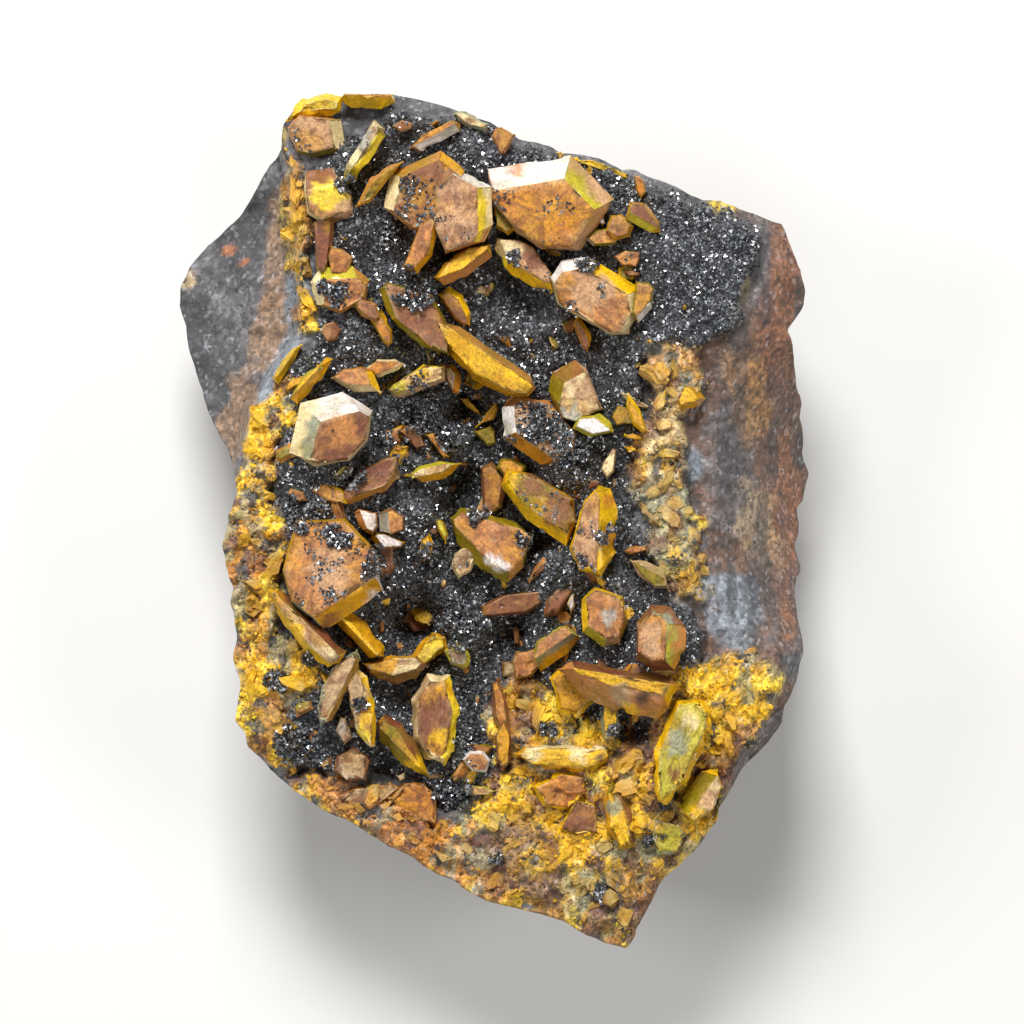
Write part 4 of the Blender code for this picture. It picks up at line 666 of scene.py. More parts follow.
        plate([(-23.6, 8.0), (-20.6, 6.4), (-16.6, 7.0), (-14.4, 9.4), (-13.8, 13.0), (-17.3, 15.1),
               (-22.2, 13.8)],
              [0.35, 0.25, 0.25, 0.25, 0.9, 2.7, 2.7], (2.4, 10, -50, 5.0), "redBrown", "cream",
              {103: "white", 60: "white", 165: "cream"}, inner={165: "greyGreen"}, dust=0.12,
              spots=[(-21.4, 13.2, 1.6, "cream"), (-17.5, 10.4, 2.0, "tan")]),
    ],
    "brown_layered_plate": [
        plate([(-18.0, 3.2), (-16.8, 2.0), (-12.4, 3.6), (-11.0, 5.4), (-10.8, 7.9), (-12.4, 7.7),
               (-15.4, 6.2)],
              [0.3, 0.7, 0.6, 0.4, 0.25, 0.3, 0.3], (1.5, 8, 130, 3.3), "redBrown", "brown",
              {-50: "ochre"}, wear=0.1),
    ],
    "yellow_green_lens": [
        plate([(-10.6, 5.4), (-8.2, 4.6), (-5.4, 5.1), (-3.7, 6.9), (-6.2, 7.2), (-8.6, 6.7)],
              [0.3, 0.8, 0.7, 0.3, 0.5, 0.5], (1.2, 5, -80, 3.8), "cream", "olive",
              {-70: "gold", 100: "lime"}),
    ],
    "central_hexagon": [
        plate([(0.8, 13.4), (1.0, 9.7), (5.4, 6.6), (9.4, 6.8), (9.6, 10.6), (6.4, 14.2), (2.6, 14.9)],
              [1.5, 1.4, 0.6, 0.3, 0.3, 0.6, 0.9], (1.8, 8, -60, 5.2), "pink", "tan",
              {180: "white", 235: "yellow", -90: "orange", 120: "brown"}, dust=0.85),
    ],
    "central_wedge": [
        plate([(6.2, 15.2), (7.4, 12.0), (9.4, 11.4), (12.8, 13.0), (10.7, 17.9), (9.4, 18.9),
               (6.6, 17.4)],
              [0.6, 0.25, 0.25, 0.3, 0.6, 1.8, 1.6], (2.3, 14, -30, 5.0), "cream", "olive",
              {130: "brown", 165: "olive", 25: "pink"}, spots=[(10.6, 15.4, 1.6, "pink"),
              (8.8, 12.4, 1.1, "grey")]),
        plate([(8.9, 10.8), (11.0, 9.8), (13.9, 10.4), (13.6, 11.6), (12.2, 12.7), (9.6, 12.4)],
              [0.5, 0.3, 0.5, 0.8, 0.5, 0.4], (1.3, 8, 90, 4.3), "white", "lime", {200: "gold"}),
    ],
    "olive_yellow_pair": [
        plate([(13.4, 12.2), (14.0, 11.1), (16.2, 11.3), (16.4, 13.0), (14.2, 13.7)],
              [0.2, 0.2, 0.2, 0.2, 0.2], (0.7, 8, 200, 2.2), "olive", "olive"),
        plate([(15.1, 13.6), (15.9, 11.2), (17.0, 10.2), (17.7, 10.5), (17.0, 12.8), (15.4, 15.0)],
              [0.3, 0.4, 0.3, 0.3, 0.5, 0.3], (0.9, 8, 200, 2.8), "gold", "yellow"),
    ],
    "cream_sliver": [
        plate([(12.2, 6.2), (13.0, 5.0), (13.9, 5.9), (14.2, 8.5), (13.6, 8.7), (12.6, 7.2)],
              [0.2, 0.2, 0.25, 0.25, 0.2, 0.2], (0.8, 10, 190, 3.0), "cream", "sand"),
    ],
    "big_yellow_cluster": [
        plate([(0.6, 4.2), (3.6, 0.4), (8.4, -2.8), (9.6, 0.0), (9.4, 2.8), (4.4, 5.8), (1.4, 6.4)],
              [0.9, 1.3, 0.4, 0.3, 0.3, 0.3, 0.5], (1.8, 8, 50, 5.0), "olive", "gold", {-130: "yellow"},
              dust=0.12, spots=[(4.4, 4.4, 1.6, "brown"), (7.4, 1.4, 1.8, "brown"),
              (2.2, 5.2, 1.0, "yellow")]),
        plate([(-1.7, 6.4), (-1.4, 1.8), (-0.4, 0.6), (1.2, 1.8), (1.6, 5.0), (-0.2, 7.2)],
              [0.3, 0.3, 0.3, 0.7, 0.4, 0.3], (1.2, 10, 190, 3.2), "redBrown", "brown"),
        plate([(0.2, 6.4), (1.2, 5.2), (3.4, 5.4), (3.8, 6.6), (2.2, 7.6), (0.8, 7.6)],
              [0.3, 0.3, 0.3, 0.4, 0.3, 0.3], (1.0, 8, 150, 3.4), "gold", "olive"),
    ],
    "speckled_plates": [
        plate([(-5.2, 0.6), (-4.4, -2.4), (-1.0, -6.0), (1.6, -7.0), (3.4, -5.2), (4.6, -1.6), (2.6, 0.2),
               (-3.8, 2.0)],
              [0.4, 1.3, 1.3, 0.7, 0.3, 0.3, 0.7, 0.5], (1.7, 6, 60, 5.2), "tan", "olive",
              {80: "olive", -60: "ochre"}, dust=0.3, spots=[(0.4, -4.6, 0.9, "white"),
              (-0.6, -4.2, 0.7, "white"), (1.4, -4.9, 0.6, "white")]),
        plate([(-5.1, -5.0), (-4.2, -6.6), (-2.6, -5.8), (-1.6, -3.6), (-3.2, -2.4), (-4.8, -3.4)],
              [0.3, 0.3, 0.3, 0.2, 0.3, 0.2], (1.2, 6, -110, 3.8), "sand", "cream", wear=0.15, dust=0.2),
    ],
    "white_faceted_cluster": [
        plate([(-16.2, 1.2), (-15.4, -0.9), (-14.0, -1.5), (-13.3, -0.4), (-13.4, 1.3), (-15.6, 1.7)],
              [0.8, 0.5, 0.2, 0.2, 0.2, 0.2], (1.2, 8, 60, 3.0), "white", "tan"),
        plate([(-13.4, 1.2), (-13.2, -1.0), (-11.8, -1.5), (-10.2, -0.8), (-10.2, 0.8), (-11.8, 1.9)],
              [1.2, 0.2, 0.2, 0.3, 0.3, 0.4], (1.2, 6, -20, 3.0), "tan", "brown", {180: "grey"}),
        plate([(-14.4, -1.7), (-13.2, -3.0), (-10.6, -2.9), (-10.2, -2.2), (-12.6, -1.1), (-13.8, -1.1)],
              [0.6, 0.2, 0.2, 0.2, 0.2, 0.3], (1.1, 6, 80, 2.9), "white", "gold"),
    ],
    "small_yellow_crystal": [
        plate([(-6.9, 0.2), (-6.5, -1.2), (-5.6, -2.5), (-5.2, -1.4), (-5.6, 0.2), (-6.3, 0.6)],
              [0.3, 0.4, 0.3, 0.3, 0.3, 0.2], (1.1, 8, 90, 3.4), "lime", "yellow"),
    ],
    "golden_point": [
        plate([(-9.2, -4.9), (-7.4, -4.2), (-6.9, -2.3), (-7.4, -1.2), (-8.4, -1.9)],
              [0.4, 0.6, 0.4, 0.3, 0.3], (1.1, 8, 150, 3.2), "yellow", "gold", {-60: "brown"}),
    ],
    "bright_yellow_crystal": [
        plate([(20.6, 14.0), (21.2, 12.9), (23.6, 13.3), (24.4, 14.3), (22.9, 16.0), (21.6, 16.2)],
              [0.5, 0.6, 0.7, 0.7, 0.6, 0.5], (1.5, 6, 150, 2.8), "yellow", "gold", {-30: "ochre"}),
    ],
    "tall_yellow_crystal": [
        plate([(10.2, 2.6), (8.6, -2.8), (9.6, -5.6), (12.4, -6.2), (14.1, -3.4), (14.3, 1.8),
               (13.4, 4.0), (12.0, 4.4)],
              [0.3, 0.3, 0.3, 0.7, 2.2, 1.6, 0.4, 0.3], (2.3, 8, 190, 5.6), "pink", "yellow",
              {0: "yellow"}, dust=0.5, wear=0.1, spots=[(13.2, -1.8, 1.0, "orange"),
              (13.2, 2.6, 0.8, "orange")]),
    ],
    "olive_tan_blade": [
        plate([(15.5, -4.2), (16.4, -6.0), (18.4, -7.6), (20.2, -7.6), (19.6, -5.4), (17.4, -4.2)],
              [0.3, 0.4, 0.4, 0.3, 0.8, 0.3], (1.0, 8, -130, 2.6), "olive", "sand"),
    ],
    "lower_hexagon": [
        plate([(9.9, -8.8), (10.1, -12.6), (12.6, -14.4), (14.6, -13.9), (15.5, -11.2), (15.0, -8.4),
               (11.6, -7.2)],
              [0.7, 1.0, 0.9, 0.5, 0.3, 0.3, 0.3], (1.5, 6, 60, 4.2), "tan", "yellow",
              {180: "yellow", -125: "lime", -80: "cream"}, dust=0.15, spots=[(13.2, -10.8, 0.9, "grey")]),
    ],
    "box_crystal": [
        plate([(16.2, -11.4), (16.2, -15.7), (18.4, -17.0), (20.7, -16.9), (22.0, -14.4), (22.1, -11.6),
               (20.2, -9.5), (17.9, -9.1)],
              [0.2, 0.9, 1.3, 1.2, 2.4, 1.6, 1.2, 0.8], (3.2, 6, 180, 6.4), "tan", "redBrown",
              {0: "orange", 60: "brown", 100: "brown"}, inner={0: "lime", 50: "greyGreen"},
              spots=[(17.8, -12.4, 1.4, "pink"), (18.0, -14.4, 1.2, "pink")]),
    ],
    "shadowed_brown_plate": [
        plate([(-1.6, -11.2), (4.0, -10.6), (7.2, -8.6), (6.6, -7.6), (1.0, -8.2), (-1.8, -9.6)],
              [0.4, 0.4, 0.3, 0.2, 0.3, 0.3], (1.0, 8, -100, 2.4), "brown", "redBrown", dust=0.3),
    ],
    "tan_bar_crystals": [
        plate([(4.4, -15.6), (5.4, -17.2), (8.4, -15.2), (10.1, -13.2), (8.5, -11.8), (7.6, -11.8),
               (4.8, -13.6)],
              [0.3, 1.7, 1.2, 0.3, 0.2, 0.25, 0.25], (2.0, 6, 125, 4.8), "tan", "lime", {-60: "gold"},
              inner={-55: "greyGreen"}),
        plate([(1.9, -16.0), (2.4, -18.3), (4.4, -18.0), (6.2, -15.8), (5.0, -14.2), (2.4, -14.8)],
              [0.3, 0.4, 0.4, 0.4, 0.3, 0.3], (1.4, 6, -120, 3.4), "tan", "ochre", wear=0.15),
    ],
    "lower_left_hexagon": [
        plate([(-24.4, -5.4), (-23.4, -9.2), (-19.3, -12.4), (-12.6, -7.9), (-13.4, -3.2), (-17.0, 0.6),
               (-22.8, 0.4)],
              [0.3, 0.35, 2.0, 0.5, 0.3, 0.3, 0.3], (1.9, 6, 120, 4.2), "tan", "gold",
              {-130: "greyGreen", -55: "gold", 0: "white"}, dust=0.5, spots=[(-19.0, -11.4, 1.3, "brown"),
              (-13.6, -8.3, 0.8, "white"), (-18.5, -5.5, 2.6, "pink")]),
    ],
    "long_yellow_bar": [
        plate([(-26.2, -7.6), (-24.4, -11.4), (-21.9, -14.6), (-19.2, -16.9), (-17.6, -16.2),
               (-16.9, -14.7), (-22.7, -9.0), (-24.6, -7.5)],
              [0.5, 0.9, 0.9, 0.5, 0.3, 0.9, 0.6, 0.4], (1.6, 6, -135, 4.2), "cream", "yellow",
              {45: "redBrown", -135: "yellow"}, wear=0.12, spots=[(-22.6, -12.4, 1.0, "yellow"),
              (-25.2, -8.8, 1.2, "gold")]),
    ],
    "golden_ridge_crystal": [
        plate([(-19.2, -9.3), (-18.4, -11.4), (-14.4, -15.6), (-12.6, -15.5), (-12.5, -14.2),
               (-15.0, -11.2), (-17.4, -9.6)],
              [0.3, 0.9, 0.3, 0.3, 1.2, 1.0, 0.3], (1.9, 5, -45, 4.6), "yellow", "gold",
              {40: "gold", -135: "gold"}),
    ],
    "horizontal_bar": [
        plate([(-15.4, -16.2), (-14.2, -17.9), (-11.4, -18.7), (-9.0, -18.0), (-7.6, -16.4),
               (-9.0, -15.2), (-12.0, -15.2)],
              [0.4, 1.0, 1.1, 0.7, 0.3, 0.3, 0.4], (1.6, 5, -90, 4.8), "cream", "redBrown", {90: "gold"},
              wear=0.1, spots=[(-12.6, -15.9, 1.6, "gold")]),
        plate([(-10.2, -16.0), (-8.4, -17.2), (-5.4, -14.6), (-5.6, -13.2), (-7.2, -12.4), (-8.4, -13.4)],
              [0.3, 0.5, 0.3, 0.3, 0.5, 0.7], (1.5, 5, 130, 5.0), "lemon", "gold", wear=0.15),
        plate([(-6.0, -14.8), (-5.0, -16.6), (-3.2, -16.8), (-2.6, -15.4), (-3.6, -13.8), (-5.2, -13.8)],
              [0.3, 0.4, 0.4, 0.4, 0.3, 0.3], (1.4, 5, 60, 4.2), "greyGreen", "lime", wear=0.28),
    ],
    "v_pair_crystals": [
        plate([(-17.2, -18.2), (-16.6, -21.4), (-15.8, -24.2), (-14.3, -26.0), (-13.6, -25.8),
               (-13.5, -21.2), (-14.6, -17.6), (-15.8, -16.4)],
              [0.3, 0.3, 0.4, 0.2, 0.5, 0.7, 0.6, 0.4], (1.5, 6, 190, 4.4), "pink", "cream",
              {10: "yellow"}, wear=0.12, spots=[(-14.6, -22.4, 1.0, "yellow"),
              (-15.2, -24.2, 0.9, "lemon"), (-15.6, -19.4, 1.2, "sand")]),
        plate([(-20.5, -21.6), (-20.0, -23.3), (-18.6, -23.0), (-16.6, -18.8), (-15.2, -15.8),
               (-15.7, -14.4), (-18.3, -15.8), (-19.9, -18.9)],
              [0.3, 0.3, 0.6, 0.4, 0.2, 0.3, 0.3, 0.3], (1.4, 6, 150, 4.0), "sand", "greyGreen",
              {-30: "ochre"}, wear=0.2, dust=0.12),
    ],
    "oval_plate": [
        plate([(-9.6, -20.4), (-9.6, -25.0), (-8.0, -27.4), (-5.6, -28.2), (-4.6, -26.4), (-3.8, -21.4),
               (-5.0, -17.4), (-7.8, -17.4)],
              [0.8, 0.8, 0.7, 0.6, 0.9, 1.0, 0.8, 0.7], (1.4, 6, 175, 4.0), "brown", "cream",
              {0: "lemon", 180: "sand", -90: "cream"}, wear=0.2, spots=[(-6.6, -24.6, 1.1, "yellow"),
              (-5.6, -19.0, 0.9, "gold"), (-7.4, -21.6, 1.2, "redBrown")]),
    ],
    "brown_gold_lens": [
        plate([(-13.5, -22.9), (-13.3, -25.2), (-10.2, -28.4), (-7.4, -29.5), (-8.6, -25.8),
               (-10.4, -23.0), (-12.6, -22.0)],
              [0.3, 1.2, 0.7, 0.4, 1.1, 0.9, 0.3], (1.7, 5, -45, 3.7), "olive", "gold",
              {35: "redBrown", -135: "olive"}, spots=[(-8.8, -28.0, 1.3, "yellow")]),
    ],
    "white_dusted_crystal": [
        plate([(-3.8, -27.4), (-2.6, -28.8), (-0.8, -29.0), (-0.3, -27.4), (-1.2, -26.3), (-2.8, -26.2)],
              [0.4, 0.3, 0.4, 0.4, 0.4, 0.3], (1.1, 6, -60, 2.8), "tan", "white", dust=0.4),
    ],
    "upright_brown_plates": [
        plate([(-0.6, -18.6), (-0.2, -22.4), (0.8, -24.6), (1.9, -24.0), (1.6, -20.2), (0.6, -17.8)],
              [0.4, 0.4, 0.3, 0.5, 0.5, 0.3], (1.2, 6, 200, 3.1), "orange", "brown", wear=0.15),
        plate([(0.0, -24.6), (0.2, -27.6), (1.0, -28.9), (2.0, -27.6), (2.2, -24.4), (1.2, -22.4)],
              [0.3, 0.4, 0.3, 0.4, 0.4, 0.3], (1.2, 6, 190, 3.0), "gold", "brown", wear=0.15),
    ],
    # The dark rock spot at 16.8, -20.1 on the first plate is painted shade in a hole.
    "lower_right_bar": [
        plate([(7.2, -16.8), (10.6, -20.4), (14.6, -21.8), (18.8, -22.6), (20.0, -21.2), (21.3, -18.4),
               (20.3, -17.5), (8.8, -15.6)],
              [1.5, 2.7, 3.0, 1.2, 1.0, 0.5, 0.9, 0.4], (2.6, 5, -95, 6.0), "yellow", "tan",
              {84: "redBrown", 0: "yellow"}, wear=0.15, spots=[(16.8, -20.1, 0.8, "darkRock"),
              (12.4, -19.6, 1.0, "ochre"), (14.6, -19.4, 1.3, "sand"), (15.6, -21.6, 0.9, "yellow")]),
        plate([(6.3, -18.0), (7.4, -21.8), (9.4, -22.6), (12.0, -20.6), (11.2, -17.6), (7.4, -16.8)],
              [0.5, 0.6, 0.6, 0.6, 0.5, 0.4], (1.5, 5, -150, 3.6), "gold", "yellow", wear=0.3),
        plate([(12.3, -22.8), (12.5, -25.0), (13.9, -25.2), (14.5, -23.6), (14.4, -19.6), (12.9, -19.2)],
              [0.3, 0.3, 0.3, 0.4, 0.3, 0.2], (1.3, 5, 180, 3.4), "yellow", "greyGreen", wear=0.28),
    ],
    "yellow_broken_bar": [
        plate([(2.3, -26.8), (4.6, -28.4), (8.4, -28.9), (11.2, -29.0), (13.6, -27.4), (13.4, -26.0),
               (12.2, -25.4), (3.6, -25.6)],
              [0.4, 0.6, 0.7, 0.7, 0.4, 0.3, 0.4, 0.3], (1.7, 5, 90, 4.4), "yellow", "gold",
              {90: "cream"}, wear=0.25, spots=[(4.4, -26.8, 0.9, "cream"), (9.6, -26.4, 1.1, "cream"),
              (12.2, -27.0, 0.5, "darkRock")]),
        plate([(4.2, -30.4), (5.8, -33.0), (9.0, -33.4), (11.4, -31.2), (10.6, -29.0), (7.6, -28.6)],
              [0.5, 0.5, 0.5, 0.5, 0.4, 0.4], (1.6, 5, -60, 3.6), "orange", "yellow", wear=0.28),
        plate([(7.4, -35.4), (9.4, -36.4), (12.2, -35.8), (12.0, -32.4), (9.2, -31.6)],
              [0.3, 0.3, 0.3, 0.3, 0.3], (1.2, 5, -60, 3.0), "brown", "yellow", wear=0.2),
    ],
    "tall_crumbly_plate": [
        plate([(18.4, -26.0), (18.2, -29.4), (18.6, -31.8), (19.8, -32.2), (22.2, -30.0), (24.9, -24.0),
               (25.0, -21.6), (23.8, -19.9), (20.8, -20.3)],
              [0.6, 0.5, 0.3, 0.7, 0.8, 0.6, 0.5, 0.5, 0.6], (1.7, 8, 150, 4.6), "lime", "yellow",
              wear=0.32, spots=[(20.6, -28.4, 0.8, "redBrown"), (22.6, -22.6, 1.0, "cream"),
              (21.0, -25.0, 1.4, "greyGreen")]),
    ],
    "yellow_upright_block": [
        plate([(12.6, -31.2), (12.9, -35.4), (14.2, -37.8), (16.4, -37.4), (16.2, -33.6), (15.0, -30.4),
               (13.6, -29.4)],
              [0.5, 0.6, 0.4, 0.7, 0.9, 0.5, 0.4], (1.5, 5, 180, 4.0), "yellow", "gold", {10: "brown"},
              wear=0.25, spots=[(13.8, -32.6, 0.9, "greyGreen"), (13.6, -30.4, 0.8, "olive")]),
    ],
    "yellow_cream_plate": [
        plate([(20.9, -32.6), (22.8, -34.6), (25.2, -33.4), (26.4, -30.2), (25.8, -28.2), (23.8, -28.5)],
              [0.4, 0.3, 0.3, 0.3, 0.3, 1.8], (1.6, 8, 0, 3.4), "cream", "yellow", {150: "olive"},
              wear=0.1, spots=[(24.6, -31.8, 1.0, "pink"), (23.2, -33.4, 0.9, "yellow")]),
    ],
}


# A small crystal with no node of its own: like a plate, with narrow bevels and a low pose.
def chip(corners, face, bevel, up=2.2, lean=8, toward=-60, **more):
    return plate(corners, [0.22] * len(corners), (0.9, lean, toward, up), face, bevel, steps=8, **more)


chips = [
    chip([(16.0, 40.0), (16.2, 38.2), (16.9, 37.2), (17.6, 38.0), (17.4, 39.4), (16.8, 40.0)],
         "orange", "gold", 1.6),
    chip([(7.1, 42.8), (7.6, 41.6), (8.2, 42.7), (7.7, 43.0)], "orange", "yellow", 1.4),
    chip([(8.8, 42.0), (9.4, 41.5), (15.0, 39.6), (15.6, 39.5), (15.4, 40.4), (11.5, 42.0)],
         "lemon", "yellow", 1.5, wear=0.12),
    chip([(10.7, 39.9), (11.3, 39.8), (11.2, 41.2), (10.8, 41.3)], "yellow", "gold", 1.7),
    chip([(11.9, 34.6), (12.4, 34.0), (12.9, 34.4), (12.7, 35.2), (12.3, 35.2)], "white", "cream", 2.4),
    chip([(13.6, 30.6), (14.6, 29.4), (16.4, 29.2), (16.9, 30.2), (16.8, 31.2), (15.0, 31.4)],
         "tan", "brown", 1.9, dust=0.3),
    chip([(14.9, 28.9), (15.4, 28.2), (16.8, 28.2), (17.0, 28.8), (15.8, 29.1)], "brown", "redBrown", 1.7),
    chip([(-20.1, 21.9), (-19.2, 20.7), (-18.0, 20.9), (-17.4, 22.2), (-18.3, 23.3), (-19.6, 23.0)],
         "redBrown", "brown", 1.8),
    chip([(-4.2, 14.6), (-3.4, 13.4), (-1.4, 12.2), (-1.5, 13.0), (-3.0, 14.7)], "yellow", "gold", 2.6),
    chip([(-18.5, 5.4), (-17.6, 4.8), (-16.4, 5.4), (-16.2, 6.4), (-17.4, 6.7)], "lime", "cream", 2.2,
         wear=0.12),
    chip([(-23.9, 3.4), (-22.4, 2.3), (-21.4, 2.5), (-21.8, 3.6), (-23.4, 4.1)], "tan", "ochre", 1.3),
    chip([(-20.9, 2.2), (-19.8, 1.1), (-18.9, 1.5), (-19.2, 2.7)], "grey", "sand", 2.0),
    chip([(-8.0, 10.2), (-5.9, 7.4), (-5.1, 7.6), (-7.0, 10.5)], "orange", "gold", 2.6),
    chip([(-11.2, 10.6), (-9.0, 8.4), (-7.8, 8.8), (-8.6, 11.0), (-10.4, 11.4)], "brown", "redBrown", 2.0),
    chip([(-2.5, 10.6), (-0.8, 8.8), (0.3, 9.2), (0.2, 10.6), (-0.4, 11.3)], "olive", "olive", 3.0,
         wear=0.1),
    chip([(-2.2, 11.0), (0.0, 11.9), (0.6, 13.4), (0.2, 14.0), (-1.0, 12.8)], "gold", "yellow", 3.0),
    chip([(14.8, 10.2), (15.2, 9.6), (17.0, 9.4), (17.2, 10.0), (16.0, 10.5)], "gold", "yellow", 1.8),
    chip([(14.9, 8.8), (15.4, 8.2), (16.6, 8.1), (16.4, 8.8)], "yellow", "gold", 1.6),
    chip([(14.9, -3.2), (15.6, -3.8), (17.8, -3.2), (17.6, -2.5), (15.6, -2.6)], "tan", "orange", 1.8),
    chip([(8.3, -9.4), (8.9, -10.4), (9.4, -9.6), (9.3, -8.1), (8.8, -8.2)], "white", "cream", 2.8),
    chip([(18.0, -36.0), (18.8, -38.4), (21.2, -38.2), (22.4, -36.0), (21.4, -34.6), (18.6, -34.2)],
         "lime", "greyGreen", 3.0, wear=0.25),
    chip([(-18.4, -24.0), (-17.2, -25.6), (-16.3, -24.8), (-17.0, -22.4), (-17.8, -22.2)],
         "grey", "sand", 2.8, wear=0.1),
    chip([(-3.9, -30.9), (-2.6, -31.7), (-0.6, -31.6), (0.3, -31.0), (-1.0, -30.4), (-2.8, -30.2)],
         "cream", "lime", 1.6),
    chip([(-11.4, -29.2), (-10.9, -30.0), (-10.2, -29.6), (-10.3, -28.8)], "cream", "sand", 2.2),
    chip([(-18.2, -31.6), (-16.8, -33.0), (-13.0, -32.6), (-10.6, -30.6), (-12.0, -30.0), (-16.0, -30.6)],
         "sand", "tan", 2.4, wear=0.15),
    chip([(-18.6, -28.6), (-17.0, -30.0), (-14.6, -29.8), (-14.6, -26.8), (-16.4, -25.8), (-18.2, -26.8)],
         "grey", "brown", 2.0, wear=0.12),
    chip([(-15.4, -26.6), (-15.2, -28.6), (-14.6, -29.0), (-14.2, -27.4), (-14.8, -26.4)],
         "orange", "brown", 2.6),
    chip([(-12.6, -32.0), (-9.6, -34.6), (-6.6, -35.0), (-6.8, -31.4), (-8.0, -29.9), (-10.4, -30.0)],
         "orange", "tan", 2.6, wear=0.2),
    chip([(-10.8, -11.4), (-9.6, -13.0), (-7.6, -12.6), (-7.3, -11.0), (-9.0, -10.3)],
         "redBrown", "brown", 1.2),
    chip([(2.0, -12.2), (2.2, -14.2), (3.0, -14.3), (3.1, -12.4), (2.6, -11.8)], "brown", "ochre", 1.6),
    chip([(-7.4, 45.9), (-7.0, 45.5), (-6.2, 46.2), (-6.6, 46.5)], "ochre", "gold", 1.4),
    chip([(-11.8, 45.6), (-10.8, 44.8), (-9.4, 45.2), (-9.2, 46.0), (-10.6, 46.5)], "tan", "sand", 1.6,
         dust=0.5),
    chip([(16.2, 21.2), (16.6, 20.8), (16.9, 21.2), (16.5, 21.5)], "orange", "gold", 0.9),
    chip([(17.4, 20.8), (17.8, 20.4), (18.1, 20.8), (17.8, 21.1)], "orange", "gold", 0.9),
    chip([(21.5, 24.8), (21.8, 24.3), (22.2, 24.7), (21.9, 25.0)], "orange", "gold", 0.8),
    chip([(3.9, 21.1), (4.2, 20.6), (4.6, 21.0), (4.3, 21.4)], "orange", "gold", 1.0),
    chip([(10.2, 28.9), (10.9, 28.6), (11.4, 29.2), (10.7, 29.5)], "white", "cream", 5.0),
]

# How every crystal is cut and worn: points along a side, rows down a bevel, wear, growth stripes (width,
# depth), bites out of its edges (size, depth), ledges on its face (size, height) and pits (size, depth).
plateCut = {
    "steps": 12, "rows": 9, "wear": 0.045, "stripe": (0.5, 0.035), "bite": (1.2, 0.32), "ledge": (3.6, 0.09),
    "pit": (1.3, 1.8),
}


# The outline with each side moved in by its inset: the moved lines of neighbouring sides meet at the new
# corners. Where a side would vanish, its inset grows until a little of it shows, and after 100 tries all
# the insets start again smaller.
def insetCorners(corners, insets):
    corners, first = np.array(corners, float), np.array(insets, float)
    side = np.roll(corners, -1, 0) - corners
    inward = np.stack([-side[:, 1], side[:, 0]], 1) / np.linalg.norm(side, axis=1, keepdims=True)
    before = np.roll(inward, 1, 0)
    spread = before[:, 0] * inward[:, 1] - before[:, 1] * inward[:, 0]
    insets = first
    for trial in range(1, 1000):
        reach = (inward * corners).sum(1) + insets
        reachBefore = np.roll(reach, 1)
        x = (reachBefore * inward[:, 1] - reach * before[:, 1]) / spread
        y = (before[:, 0] * reach - inward[:, 0] * reachBefore) / spread
        moved = np.stack([x, y], 1)
        along = ((np.roll(moved, -1, 0) - moved) * side).sum(1)
        lost = along < 0.03 * (side**2).sum(1)
        if not lost.any():
            return moved
        insets = insets + 0.02 * lost if trial % 100 else 0.6 ** (trial // 100) * first
    return corners


# Slope of a face that leans some degrees towards a direction: -tan(lean) along it.
def leaning(lean, toward):
    return -math.tan(math.radians(lean)) * headed(toward)


# For each side of a plate, the unit normals of its flat face, bevel, lower side and back, and its
# bevel's width: cross products of the side with the way up or down from it.
def facetNormals(outer, inner, slope, drop, depth):
    side, inset = np.roll(outer, -1, 0) - outer, inner - outer
    along = np.concatenate([side, (side @ slope)[:, None]], 1)
    rise = np.concatenate([inset, (inset @ slope + drop)[:, None]], 1)
    sink = np.concatenate([inset, (inset @ slope + drop - depth)[:, None]], 1)
    flat = np.broadcast_to([*-slope, 1.0], along.shape)
    normal = np.stack([flat, np.cross(along, rise), np.cross(sink, along), -flat])
    return normal / np.linalg.norm(normal, axis=-1, keepdims=True), np.linalg.norm(rise, axis=1)


